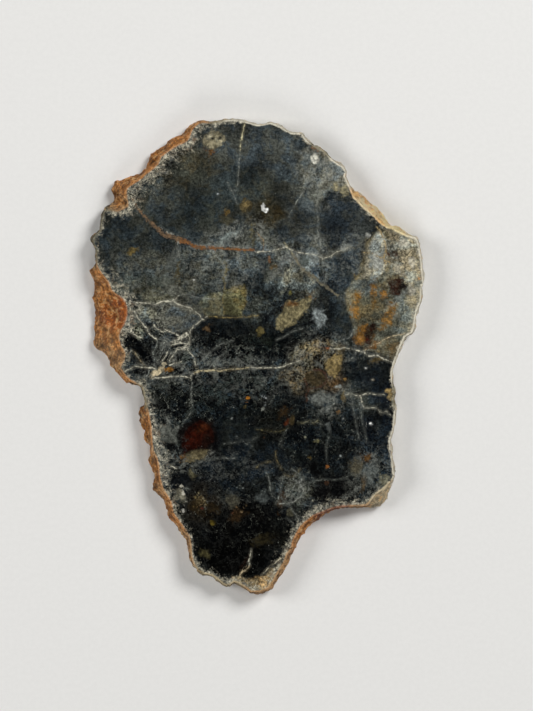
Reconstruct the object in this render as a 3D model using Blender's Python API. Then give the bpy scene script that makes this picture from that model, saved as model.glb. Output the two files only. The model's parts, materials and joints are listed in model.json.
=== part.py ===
"""A sawn slice of a lunar breccia, lying on its back with the polished face up.

The stone is one piece: a slab between two parallel saw cuts, with the natural weathered
skin of the meteorite left all round its rim. Metres, +Z up. The origin is under the middle
of the slice, on the surface that it lies on.
"""

import math

import bmesh
import bpy
from mathutils import Vector, noise

# Driving dimensions
THICKNESS = 0.0050          # between the two saw cuts
SQUARE = 0.00025            # one square of the drawing grid that the rim is drawn on
LIP = 0.00032               # how far the rim swells beyond the face where no rind shows
TUCK = 0.00060              # how far the rim draws in again at the back cut
WALL_STEP = 0.00088         # spacing of the columns of the rim wall
LUMP_HEIGHT = 0.00120       # height of the lumps on the rind
LUMP_SIZE = 0.00270         # distance from lump to lump
LEDGE_HEIGHT = 0.00050      # height of the small ledges that run along the rind
LEDGE_SIZE = 0.00130        # distance from ledge to ledge
FULL_RIND = 0.00300         # a rind this wide has its full relief, and a thin one about half
NOISE_SEED = Vector((3.1, 7.7, 1.9))

# The levels of the rim wall, from the polished cut down to the back cut: share of the
# thickness, share of the way out from the face's edge to the widest line, and share of the
# tuck at the back.
WALL_LEVELS = (
    (0.00, 0.00, 0.00),
    (0.05, 0.14, 0.00),
    (0.14, 0.30, 0.00),
    (0.25, 0.46, 0.00),
    (0.36, 0.62, 0.00),
    (0.48, 0.78, 0.00),
    (0.60, 0.91, 0.03),
    (0.72, 0.99, 0.12),
    (0.84, 1.00, 0.33),
    (0.93, 1.00, 0.63),
    (1.00, 1.00, 1.00),
)

# The rim, clockwise from the top, on the drawing grid: x to the right and y down. Each
# station is the widest line of the rim. Where the sloping rind shows beyond the polished
# face, it has a second point, on the face's edge.
TOP_AND_LEDGE = (
    ((203, 120),), ((212, 121),), ((232, 118.5),), ((250, 121.5),), ((256, 123.5),),
    ((265, 123),), ((270, 121.5),), ((281, 125.5),), ((288, 130.5),), ((295, 132),),
    ((302, 132.5),), ((306, 138),), ((314, 145),), ((318, 145.5),), ((326, 151),),
    ((331, 157),), ((340, 164),), ((344, 166),), ((346.5, 171),), ((346, 176),),
    ((351, 186),), ((354, 190), (352, 192)), ((359, 190), (354, 197)),
    ((363, 192.5), (357, 199.5)), ((370, 200), (363.5, 206.5)), ((381, 210), (375, 216.5)),
    ((384, 215.5), (379, 220.5)), ((387.5, 220), (384, 224.5)), ((393, 224), (391, 228)),
    ((401, 227), (399, 231.5)), ((409, 234), (408, 235.8)),
)
RIGHT_SIDE = (
    ((415, 236),), ((418.5, 240),), ((420.5, 247),), ((423, 263),), ((423.5, 271),),
    ((424.7, 279),), ((424, 284),), ((422.3, 288),), ((422.5, 297),), ((421, 304),),
    ((418, 311),), ((415, 328),), ((413.5, 333),), ((407.5, 336.5),), ((404, 341.5),),
    ((394, 367),), ((393.3, 383),), ((395.5, 389),), ((396, 394),), ((394.7, 399),),
    ((396, 408),), ((396, 417),), ((393.5, 433),), ((391.3, 439),), ((391.5, 446),),
    ((394.8, 472),), ((394.3, 479),),
)
CHIPPED_CORNER = (
    ((392, 487), (387.5, 484.5)), ((389.5, 493), (384.5, 488)), ((387, 498.5), (380, 491.5)),
    ((384, 502.5), (375.5, 495)), ((380, 505.5), (372, 499)), ((371, 507.8), (367, 505)),
    ((363, 507), (362, 505.8)),
)
HOLLOW_AND_FOOT = (
    ((343, 509), (342, 507)), ((335, 511), (333, 508.5)), ((326, 516), (323, 512.5)),
    ((318, 520), (314, 516)), ((311, 525), (308, 521)), ((305, 530), (302, 526)),
    ((297.5, 542), (294, 540)), ((296, 548), (292.5, 546.5)), ((294, 552), (291, 550)),
    ((289.5, 557), (287, 554.5)), ((288, 563), (285, 561.5)), ((281, 575), (278, 573)),
    ((274, 586.5), (272, 584)), ((269, 591), (267.3, 588.5)), ((263, 593.5), (262.3, 591.3)),
    ((254, 594), (254.5, 592)), ((250, 593),), ((245, 589),), ((238, 584.5),), ((234, 583),),
    ((230, 586),), ((226, 587),), ((222, 584.5),), ((211, 576.5),), ((204, 575),),
    ((198, 571.5),), ((193, 566),),
)
SCALLOPED_EDGE = (
    ((190, 558),), ((187, 542), (189.5, 541)), ((185, 536.5), (187.5, 534.5)),
    ((180, 531.5), (183.5, 529)), ((176, 526), (179.5, 523)), ((170, 520), (175, 517)),
    ((167, 515), (172.5, 513)), ((165.5, 504), (170, 502)), ((159, 495.5), (164, 492)),
    ((154, 492.5), (162, 488.5)), ((152.8, 487), (161, 485)), ((155.5, 478), (159, 478)),
    ((155, 474), (158.5, 473.5)), ((148.5, 464), (157.5, 463)), ((147.5, 460), (156.5, 459)),
    ((149.5, 456), (155, 455.5)), ((150.5, 451), (152.3, 451)), ((150, 446), (151.8, 446.5)),
    ((146.5, 442), (151, 441.5)), ((144, 438), (151, 437.5)), ((144, 434), (150.5, 433.5)),
    ((145.5, 431), (150.3, 430)), ((141.5, 426), (150, 425)), ((139.5, 421), (148.5, 420)),
    ((138.5, 414), (147.5, 414)), ((139.5, 409), (147, 409.5)), ((143.7, 401), (145.3, 402)),
)
BROAD_RIND = (
    ((142.5, 394),), ((142, 389),), ((139, 386.5), (139.5, 385.3)),
    ((127, 382.5), (128.5, 380)), ((116, 373), (121, 370.5)), ((110, 367), (120, 366)),
    ((109.5, 361), (122.5, 361)), ((104, 355), (124, 356.5)), ((100, 351), (123.5, 352)),
    ((95.5, 347.5), (120.5, 347.5)), ((92, 341), (118.5, 342)), ((92.5, 336), (117.5, 337)),
    ((94, 330), (119, 330.5)), ((93.5, 322), (123.5, 323)), ((94.2, 312), (126, 314)),
    ((93.5, 303), (125.3, 306)), ((91.5, 297), (122.5, 300)), ((93.5, 290), (117, 296)),
    ((94.5, 282), (110.5, 290.5)), ((92, 277), (107.5, 282.5)), ((88, 270.5), (101.5, 275)),
    ((91.5, 268), (98, 270)), ((94.5, 263), (96.2, 264.5)),
)
SHOULDER = (
    ((94.7, 250),), ((92, 244),), ((91.7, 239),), ((94, 234),), ((99, 230),), ((99.5, 224),),
    ((102.5, 211),), ((105.5, 207.7), (107.5, 209.5)), ((110, 204), (117, 210)),
    ((113.5, 199), (127, 206)), ((113, 193), (126, 198.5)), ((113, 187), (125.5, 192.5)),
    ((114.5, 181), (126.5, 187.5)), ((118, 178.8), (129.5, 185)), ((126, 178), (134, 182)),
    ((135, 174), (140, 178)), ((142, 170.5), (145, 173.5)), ((146, 166), (151, 169)),
    ((148, 159), (157, 163.5)), ((150, 154), (160, 156.5)), ((158, 149.5), (163.5, 153.5)),
    ((168, 141), (171.5, 148)), ((175, 136), (178, 143.8)), ((180, 133), (186, 140.5)),
    ((184.5, 128.5), (189.5, 134)), ((190, 124.5), (191.5, 128.5)),
    ((197, 121.2), (198, 122.8)),
)
RIM = (
    TOP_AND_LEDGE + RIGHT_SIDE + CHIPPED_CORNER + HOLLOW_AND_FOOT
    + SCALLOPED_EDGE + BROAD_RIND + SHOULDER
)

STONE_COLOUR = (0.016, 0.018, 0.021, 1.0)
RIND_COLOUR = (0.36, 0.17, 0.065, 1.0)


def clear_scene():
    for obj in list(bpy.data.objects):
        bpy.data.objects.remove(obj, do_unlink=True)


def new_collection(name):
    collection = bpy.data.collections.new(name)
    bpy.context.scene.collection.children.link(collection)
    return collection


def new_material(name, colour, roughness):
    material = bpy.data.materials.new(name)
    material.use_nodes = True
    shader = material.node_tree.nodes["Principled BSDF"]
    shader.inputs["Base Color"].default_value = colour
    shader.inputs["Roughness"].default_value = roughness
    shader.inputs["Metallic"].default_value = 0.0
    material.diffuse_color = colour
    return material


def middle_of_drawing():
    """The middle of the box round the rim's widest line, on the drawing grid."""
    xs = [station[0][0] for station in RIM]
    ys = [station[0][1] for station in RIM]
    return (min(xs) + max(xs)) / 2, (min(ys) + max(ys)) / 2


def placed(point, middle):
    """A point of the drawing grid, in metres."""
    return Vector(((point[0] - middle[0]) * SQUARE, (middle[1] - point[1]) * SQUARE))


def inward_at(points, index, reach=2):
    """The unit direction into the slice, square to the rim about a point. The rim runs clockwise."""
    along = points[(index + reach) % len(points)] - points[index - reach]
    return Vector((along.y, -along.x)).normalized()


def rim_lines():
    """The rim's widest line and the face's edge, station by station, in metres."""
    middle = middle_of_drawing()
    widest = [placed(station[0], middle) for station in RIM]
    edge = []
    for index, station in enumerate(RIM):
        if len(station) == 2:
            edge.append(placed(station[1], middle))
        else:
            edge.append(widest[index] + inward_at(widest, index) * LIP)
    return widest, edge


def spline_point(points, index, share):
    """A point of the closed Catmull-Rom curve through the points, past point number index."""
    before, start, end, after = (points[(index + k) % len(points)] for k in (-1, 0, 1, 2))
    square, cube = share ** 2, share ** 3
    return 0.5 * (
        2 * start
        + (end - before) * share
        + (2 * before - 5 * start + 4 * end - after) * square
        + (3 * start - before - 3 * end + after) * cube
    )


def wall_columns():
    """The widest line and the face's edge at even steps round the rim."""
    widest, edge = rim_lines()
    outer, inner = [], []
    for index, start in enumerate(widest):
        length = (widest[(index + 1) % len(widest)] - start).length
        steps = max(1, round(length / WALL_STEP))
        for step in range(steps):
            outer.append(spline_point(widest, index, step / steps))
            inner.append(spline_point(edge, index, step / steps))
    return outer, inner


def rind_relief(point):
    """Height of the rind at a point of the wall: rounded lumps, with sharp-crested ledges on them."""
    lumps = noise.noise(point / LUMP_SIZE + NOISE_SEED)
    stretched = Vector((point.x, point.y, point.z * 2.4)) / LEDGE_SIZE
    crests = 0.25 - abs(noise.noise(stretched - NOISE_SEED))
    return lumps * LUMP_HEIGHT + crests * LEDGE_HEIGHT


def wall_point(edge, widest, inward, level):
    """A point of the rim wall, raised by its relief. The two cut edges stay on their planes."""
    depth, reach, tuck = level
    flat = edge.lerp(widest, reach) + inward * TUCK * tuck
    point = Vector((flat.x, flat.y, THICKNESS * (1 - depth)))
    if depth in (0.0, 1.0):
        return point
    width = (widest - edge).length
    facing = Vector((-inward.x * THICKNESS, -inward.y * THICKNESS, width * (1 - depth)))
    away_from_cuts = math.sin(math.pi * min(1.0, depth + 0.06))
    share = away_from_cuts * min(1.0, 0.45 + 0.55 * width / FULL_RIND)
    return point + facing.normalized() * rind_relief(point) * share


def build_slice(collection, materials):
    """The slab as one closed mesh: rings of the wall bridged in turn, then the two cut faces."""
    outer, inner = wall_columns()
    inwards = [inward_at(outer, index, reach=4) for index in range(len(outer))]
    bm = bmesh.new()
    rings = [
        [
            bm.verts.new(wall_point(edge, widest, inward, level))
            for edge, widest, inward in zip(inner, outer, inwards)
        ]
        for level in WALL_LEVELS
    ]
    for upper, lower in zip(rings, rings[1:]):
        for index in range(len(upper)):
            after = (index + 1) % len(upper)
            wall = bm.faces.new((upper[index], upper[after], lower[after], lower[index]))
            wall.material_index = 1
            wall.smooth = True
    bm.faces.new(list(reversed(rings[0])))
    bm.faces.new(rings[-1])
    bmesh.ops.recalc_face_normals(bm, faces=bm.faces)
    bmesh.ops.triangulate(bm, faces=bm.faces)
    mesh = bpy.data.meshes.new("slice")
    bm.to_mesh(mesh)
    bm.free()
    for material in materials:
        mesh.materials.append(material)
    stone = bpy.data.objects.new("slice", mesh)
    collection.objects.link(stone)
    return stone


def main():
    clear_scene()
    collection = new_collection("lunar_meteorite_slice")
    materials = (
        new_material("polished_breccia", STONE_COLOUR, 0.35),
        new_material("weathered_rind", RIND_COLOUR, 0.85),
    )
    build_slice(collection, materials)


main()
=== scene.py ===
# %% [markdown]
# # A slice of a stone from the Moon
# The object is a meteorite that was sawn into thin slices. Each slice has two flat cuts and, all
# round its rim, the natural skin that grew on the stone while it lay in a desert. The first cut is
# polished, and shows what the stone is made of: broken pieces of older rock, called clasts, in a
# dark ground, with pale veins through it.
# The solid was modelled first, at its real size. It is loaded here as a fixed frame, and this
# lesson gives it a finer surface and its colours.

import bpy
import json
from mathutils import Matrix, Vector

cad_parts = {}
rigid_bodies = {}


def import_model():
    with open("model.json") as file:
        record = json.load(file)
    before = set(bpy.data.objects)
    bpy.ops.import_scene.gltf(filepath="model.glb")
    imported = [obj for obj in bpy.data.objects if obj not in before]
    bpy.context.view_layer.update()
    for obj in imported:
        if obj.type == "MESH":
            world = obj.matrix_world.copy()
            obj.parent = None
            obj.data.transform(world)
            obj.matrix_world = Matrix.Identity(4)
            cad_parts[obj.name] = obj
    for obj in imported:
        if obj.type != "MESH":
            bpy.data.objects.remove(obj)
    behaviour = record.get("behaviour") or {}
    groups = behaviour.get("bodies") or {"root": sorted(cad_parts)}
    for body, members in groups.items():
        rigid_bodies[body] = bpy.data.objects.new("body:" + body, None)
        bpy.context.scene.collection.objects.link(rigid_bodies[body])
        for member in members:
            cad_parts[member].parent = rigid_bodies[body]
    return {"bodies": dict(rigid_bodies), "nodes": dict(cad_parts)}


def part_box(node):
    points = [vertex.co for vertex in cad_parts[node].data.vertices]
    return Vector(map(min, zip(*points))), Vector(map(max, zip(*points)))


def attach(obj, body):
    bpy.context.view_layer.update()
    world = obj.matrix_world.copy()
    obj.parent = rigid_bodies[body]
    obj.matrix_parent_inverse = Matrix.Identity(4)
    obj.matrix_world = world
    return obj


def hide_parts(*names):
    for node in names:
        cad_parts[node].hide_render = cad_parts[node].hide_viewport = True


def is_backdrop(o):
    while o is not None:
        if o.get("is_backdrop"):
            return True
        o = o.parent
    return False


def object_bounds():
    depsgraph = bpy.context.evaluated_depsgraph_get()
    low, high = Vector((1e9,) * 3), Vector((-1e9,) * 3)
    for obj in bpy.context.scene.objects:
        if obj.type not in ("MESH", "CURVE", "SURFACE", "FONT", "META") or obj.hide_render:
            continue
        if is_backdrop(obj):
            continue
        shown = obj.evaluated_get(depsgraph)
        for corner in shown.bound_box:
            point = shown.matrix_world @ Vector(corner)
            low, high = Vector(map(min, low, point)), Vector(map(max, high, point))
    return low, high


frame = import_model()
solid_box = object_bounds()
lowest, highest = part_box("slice")
body = next(iter(frame["bodies"]))
print("body:", body, "size in mm:", [round(1000 * side, 1) for side in highest - lowest])

# %% [markdown]
# ## Two kinds of numbers
# Everything in Blender is in metres here. The clasts and veins are easier to place on a drawing
# of the face, so this lesson uses the same drawing grid as the solid: squares of a quarter of a
# millimetre, x to the right and y down. One function turns a place on the drawing into metres,
# and every list of places below goes through it.
# Some of Blender's noises start from the clock unless a seed is set. One fixed seed here makes
# the stone come out the same each time.

# %% The drawing grid
import json
import math

import bmesh
import bpy
import numpy as np
from mathutils import Vector, geometry, noise

SQUARE = 0.00025
MIDDLE = (256.35, 356.25)
THICKNESS = highest.z - lowest.z
NOISE_SEED = 3
noise.seed_set(NOISE_SEED)


def on_stone(places):
    """Places on the drawing grid, in metres on the stone."""
    places = np.asarray(places, float)
    return (places - MIDDLE) * (SQUARE, -SQUARE)


def on_drawing(metres):
    """The way back, from metres to squares of the grid."""
    return np.asarray(metres, float) / (SQUARE, -SQUARE) + MIDDLE


print("the drawing's first corner lies at", on_stone([(0, 0)]).round(4).tolist(), "m")

# %% [markdown]
# ## The camera
# The slice lies down, so the camera looks straight down on it. A short lens close by would hide
# the sloping rim behind the face on one side and show too much of it on the other. A long lens
# from a metre away sees all sides alike, nearly as a scanner does.
# The height of the picture, in squares of the drawing, and the lens give the distance.

# %% Make the camera
LENS = 200
SENSOR = 36
PICTURE = (533, 711)

camera = bpy.data.objects.new("camera", bpy.data.cameras.new("camera"))
bpy.context.scene.collection.objects.link(camera)
bpy.context.scene.camera = camera
camera.data.lens = LENS
camera.data.sensor_width = SENSOR
distance = PICTURE[1] * SQUARE * LENS / SENSOR
centre = on_stone([(PICTURE[0] / 2, PICTURE[1] / 2)])[0]
camera.location = (centre[0], centre[1], THICKNESS + distance)
print("the camera hangs", round(distance, 3), "m above the face")

# %% [markdown]
# ## The floor and the light
# A polished dark stone is a weak mirror. Whatever hangs straight above it would lie over its
# blacks as a grey haze, so the big soft lamps stand to the sides and the sky above is dim. The
# strongest lamp is at the upper right, which gives the rim a bright edge there.
# The floor is one pale sheet that takes a soft shadow.

# %% Make the floor and the lamps
FLOOR_SIDE = 8.0
SKY = 0.04
LAMPS = {
    "key": ((0.70, 0.60, 0.80), 0.55, 12.6),
    "fill": ((-0.95, 0.15, 0.65), 0.60, 7.6),
    "far": ((0.05, -1.05, 0.62), 0.60, 4.8),
}


def add_floor():
    bm = bmesh.new()
    bmesh.ops.create_grid(bm, x_segments=1, y_segments=1, size=FLOOR_SIDE / 2)
    mesh = bpy.data.meshes.new("floor")
    bm.to_mesh(mesh)
    bm.free()
    made = bpy.data.objects.new("floor", mesh)
    bpy.context.scene.collection.objects.link(made)
    return made


def add_lamp(name, place, side, power):
    lamp = bpy.data.lights.new(name, "AREA")
    lamp.shape = "DISK"
    lamp.size = side
    lamp.energy = power
    made = bpy.data.objects.new(name, lamp)
    made.location = place
    made.rotation_euler = (-Vector(place)).to_track_quat("-Z", "Y").to_euler()
    bpy.context.scene.collection.objects.link(made)
    return made


floor = add_floor()
lamps = [add_lamp(name, *facts) for name, facts in LAMPS.items()]
world = bpy.data.worlds.new("studio")
bpy.context.scene.world = world
world.use_nodes = True
world.node_tree.nodes["Background"].inputs["Strength"].default_value = SKY
world.node_tree.nodes["Background"].inputs["Color"].default_value = (0.97, 0.98, 1.0, 1)
bpy.context.scene.view_settings.view_transform = "Standard"
print("lamps:", [lamp.name for lamp in lamps])

# %% [markdown]
# ## The rim
# The solid's rim is made of facets nearly a millimetre wide, and the real rind is rough down to
# a tenth of that. It could be sculpted by hand or displaced by a texture. Here the facets are
# cut into nine and moved by noise in code, because then the relief is a rule that can be read,
# and the two cut edges can be kept on their planes.
# First the flat cuts come off, so that only the wall of the rim is left.

# %% Take the wall of the rim from the solid
TOUCH = 1e-6
FACET_CUTS = 2


def wall_of(node):
    """The rim wall of the solid, with each facet cut into nine."""
    bm = bmesh.new()
    bm.from_mesh(node.data)
    bmesh.ops.remove_doubles(bm, verts=bm.verts, dist=TOUCH)
    for height in (lowest.z, highest.z):
        cut = [f for f in bm.faces if all(abs(v.co.z - height) < TOUCH for v in f.verts)]
        bmesh.ops.delete(bm, geom=cut, context="FACES")
    turn = math.radians(180)
    bmesh.ops.join_triangles(
        bm, faces=bm.faces, angle_face_threshold=turn, angle_shape_threshold=turn
    )
    bmesh.ops.subdivide_edges(bm, edges=bm.edges, cuts=FACET_CUTS, use_grid_fill=True)
    bm.verts.index_update()
    return bm


def edge_loop(bm, height):
    """The open edge of the wall at a height, as vertices in order."""
    beside = {}
    for edge in bm.edges:
        if edge.is_boundary and all(abs(v.co.z - height) < TOUCH for v in edge.verts):
            for here, there in (edge.verts, reversed(edge.verts)):
                beside.setdefault(here, []).append(there)
    loop = [next(iter(beside))]
    before = None
    while True:
        after = next(v for v in beside[loop[-1]] if v is not before)
        if after is loop[0]:
            return loop
        before = loop[-1]
        loop.append(after)


wall = wall_of(frame["nodes"]["slice"])
face_loop = edge_loop(wall, highest.z)
back_loop = edge_loop(wall, lowest.z)
face_loop_places = np.array([(v.co.x, v.co.y) for v in face_loop])
back_loop_places = np.array([(v.co.x, v.co.y) for v in back_loop])
print("wall faces:", len(wall.faces), "points on the face's edge:", len(face_loop))

# %% [markdown]
# ## Distances on the flat
# Nearly everything below asks how far a place is from a line: from the face's edge, from a clast's
# outline or from a vein. Two helpers answer that for many places at once. One says whether a place
# is inside a closed outline, and the other finds the nearest of many straight lines.

# %% Helpers for distances


def inside(points, loop):
    """Whether each point lies in a closed outline."""
    found = np.zeros(len(points), bool)
    for (ax, ay), (bx, by) in zip(loop, np.roll(loop, -1, axis=0)):
        spans = (ay > points[:, 1]) != (by > points[:, 1])
        rise = by - ay if by != ay else TOUCH
        found ^= spans & (points[:, 0] < ax + (points[:, 1] - ay) / rise * (bx - ax))
    return found


def nearest(points, starts, ends, first_widths, last_widths):
    """For each point, the nearest of many lines: the gap to it, the foot on it, its half-width there
    and its number."""
    gap = np.full(len(points), np.inf)
    foot = np.zeros((len(points), 2))
    width = np.zeros(len(points))
    number = np.zeros(len(points), int)
    for index, (start, end) in enumerate(zip(starts, ends)):
        along = end - start
        share = np.clip((points - start) @ along / max(along @ along, TOUCH**2), 0, 1)
        near = start + share[:, None] * along
        half = first_widths[index] + share * (last_widths[index] - first_widths[index])
        away = np.hypot(*(points - near).T) - half
        closer = away < gap
        gap[closer] = away[closer]
        foot[closer] = near[closer]
        width[closer] = half[closer]
        number[closer] = index
    return gap, foot, width, number


print("the face's middle is inside its edge:", bool(inside(np.zeros((1, 2)), face_loop_places)[0]))

# %% [markdown]
# ## The rind's relief
# A weathered rind has rounded lumps, thin ledges where layers of carbonate grew along the stone,
# and pits. Three noises make them: a fractal one for lumps, the crests of a second one for ledges,
# and a cell noise whose centres are pits. The ledges have to run along the rim, so their noise is
# read not at the point's height but at its layer: how far out it lies from the face's edge plus
# how deep below it. Each point moves along its own normal, less and less towards the two cuts.

# %% Roughen the wall
LUMP = 0.00030
LEDGE = 0.00042
PIT = 0.00030
CALM = 0.0005


def smooth_step(value, low, high):
    share = np.clip((value - low) / (high - low), 0, 1)
    return share * share * (3 - 2 * share)


def layers_of(points):
    """How far each point lies out from the face's edge plus how deep below it, in metres."""
    flat = np.zeros(len(face_loop_places))
    turned = np.roll(face_loop_places, -1, axis=0)
    out = nearest(points[:, :2], face_loop_places, turned, flat, flat)[0]
    return out + highest.z - points[:, 2]


def rind_height(point, layer):
    """Height of the rind's fine relief at a point, in metres."""
    place = point * 1000
    lumps = noise.fractal(place * 0.75, 0.9, 2.1, 4)
    layered = Vector((place.x * 0.45, place.y * 0.45, layer * 1000 * 1.5))
    crests = 0.3 - abs(noise.fractal(layered + Vector((9, 4, 1)), 0.9, 2.1, 2))
    centre_gap = noise.voronoi(place * 0.85)[0][0]
    pits = 1 - smooth_step(centre_gap, 0.12, 0.42)
    return lumps * LUMP + crests * LEDGE - float(pits) * PIT


def roughen(bm):
    edges = set(face_loop) | set(back_loop)
    inner = [v for v in bm.verts if v not in edges]
    for _ in range(2):
        bmesh.ops.smooth_vert(
            bm, verts=inner, factor=0.5, use_axis_x=True, use_axis_y=True, use_axis_z=True
        )
    bm.normal_update()
    outward = 1 if sum(v.normal.dot(Vector((v.co.x, v.co.y, 0))) for v in inner) > 0 else -1
    layers = layers_of(np.array([v.co for v in inner]))
    moves = []
    for vert, layer in zip(inner, layers):
        from_cut = min(vert.co.z - lowest.z, highest.z - vert.co.z)
        share = min(1.0, 0.15 + from_cut / CALM)
        moves.append(vert.normal * outward * rind_height(vert.co, layer) * share)
    for vert, move in zip(inner, moves):
        vert.co += move
        vert.co.z = min(max(vert.co.z, lowest.z), highest.z)
    return moves


moves = roughen(wall)
print("the rind moves by up to", round(1000 * max(move.length for move in moves), 2), "mm")

# %% [markdown]
# ## The two cuts
# A cut is flat, so one big face would do for its shape. It is filled with small triangles
# instead, because the clasts and veins below are worked out at the points of the mesh, and a
# point every 0.4 mm is close enough for a shader to draw a sharp line between them.
# A Delaunay fill makes even triangles right up to the wandering edge, where a grid would leave
# steps. The back needs less detail and gets wider triangles.

# %% Fill the cuts
FACE_SPACING = 0.00039
BACK_SPACING = 0.00110
STRAY = 0.22


def filled(loop, spacing, seed):
    """Points inside an outline, and the triangles between them and the outline's own points."""
    rng = np.random.default_rng(seed)
    low, high = loop.min(axis=0), loop.max(axis=0)
    row_step = spacing * math.sqrt(3) / 2
    rows = np.arange(low[1], high[1], row_step)
    grid = [
        (x + (spacing / 2 if row % 2 else 0), y)
        for row, y in enumerate(rows)
        for x in np.arange(low[0], high[0], spacing)
    ]
    grid = np.array(grid) + rng.uniform(-STRAY, STRAY, (len(grid), 2)) * spacing
    grid = grid[inside(grid, loop)]
    flat = np.zeros(len(loop))
    gap = nearest(grid, loop, np.roll(loop, -1, axis=0), flat, flat)[0]
    grid, gap = grid[gap > spacing * 0.5], gap[gap > spacing * 0.5]
    corners = [Vector(place) for place in np.concatenate([loop, grid])]
    sides = [(index, (index + 1) % len(loop)) for index in range(len(loop))]
    made = geometry.delaunay_2d_cdt(corners, sides, [], 1, 1e-9)
    triangles = [[made[3][corner][0] for corner in face] for face in made[2]]
    return grid, gap, triangles


face_points, face_gaps, face_triangles = filled(face_loop_places, FACE_SPACING, 11)
back_points, back_gaps, back_triangles = filled(back_loop_places, BACK_SPACING, 12)
print("face triangles:", len(face_triangles), "back triangles:", len(back_triangles))

# %% [markdown]
# ## One closed mesh
# The wall and the two fills share the points of the cut edges, so they join with no gap. Each
# face also remembers its finish: 0 for the polished cut, 1 for the rind and 2 for the sawn back.

# %% Join the wall and the cuts


def joined():
    """The wall's points, then the face's and the back's, with all the faces between them."""
    points = [tuple(v.co) for v in wall.verts]
    faces = [[v.index for v in face.verts] for face in wall.faces]
    finish = [1] * len(faces)
    fills = (
        (face_loop, face_points, face_triangles, highest.z, 0),
        (back_loop, back_points, back_triangles, lowest.z, 2),
    )
    for loop, inner, triangles, height, slot in fills:
        known = [v.index for v in loop] + list(range(len(points), len(points) + len(inner)))
        points += [(x, y, height) for x, y in inner]
        faces += [[known[corner] for corner in triangle] for triangle in triangles]
        finish += [slot] * len(triangles)
    return points, faces, finish


def build_stone():
    points, faces, finish = joined()
    mesh = bpy.data.meshes.new("stone")
    mesh.from_pydata(points, [], faces)
    mesh.polygons.foreach_set("material_index", finish)
    bm = bmesh.new()
    bm.from_mesh(mesh)
    bmesh.ops.recalc_face_normals(bm, faces=bm.faces)
    for face in bm.faces:
        face.smooth = face.material_index == 1
    bm.to_mesh(mesh)
    bm.free()
    made = bpy.data.objects.new("stone", mesh)
    bpy.context.scene.collection.objects.link(made)
    return made


stone = build_stone()
wall.free()
corners = np.array([v.co for v in stone.data.vertices])
spots = on_drawing(corners[:, :2])
print("points:", len(corners), "faces:", len(stone.data.polygons))

# %% [markdown]
# ## Storing facts on the points
# A shader can't look a vein up in a list, but it can read named attributes of the mesh. So the
# lists are worked out here, once, for every point, and the shader only draws with the results.
# Colours are written the way a picture shows them, from 0 to 255, and turned into the linear
# values that a shader needs.

# %% Helpers for attributes and colours


def tint(red, green, blue):
    """A colour as a picture shows it, as linear values."""
    share = np.array((red, green, blue)) / 255
    return np.where(share <= 0.04045, share / 12.92, ((share + 0.055) / 1.055) ** 2.4)


def keep_number(name, values):
    layer = stone.data.attributes.new(name, "FLOAT", "POINT")
    layer.data.foreach_set("value", np.asarray(values, np.float32))


def keep_vector(name, values):
    layer = stone.data.attributes.new(name, "FLOAT_VECTOR", "POINT")
    layer.data.foreach_set("vector", np.asarray(values, np.float32).ravel())


def keep_colour(name, values):
    layer = stone.data.attributes.new(name, "FLOAT_COLOR", "POINT")
    whole = np.concatenate([values, np.ones((len(values), 1))], axis=1)
    layer.data.foreach_set("color", whole.astype(np.float32).ravel())


def wandering(places, size, reach, seed):
    """The places moved by a slow noise, so that what is drawn with them loses its neat edges."""
    moved = np.empty_like(places)
    for index, (x, y) in enumerate(places):
        push = noise.turbulence_vector(Vector((x / size, y / size, seed)), 3, False)
        moved[index] = (x + push.x * reach, y + push.y * reach)
    return moved


strayed = wandering(spots, 16.0, 5.0, 2.5)
print("places stray by up to", round(float(np.abs(strayed - spots).max()), 1), "squares")

# %% [markdown]
# ## The ground and its zones
# The dark ground isn't one colour. Large old fragments of slightly different rock lie in it,
# from slate grey at the broad end to nearly black at the foot. They are painted like a
# watercolour: each zone is an ellipse with a place, two radii, a turn, a colour, and how soft its
# edge is, laid over what is there already. The noise above makes their edges wander.

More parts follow.
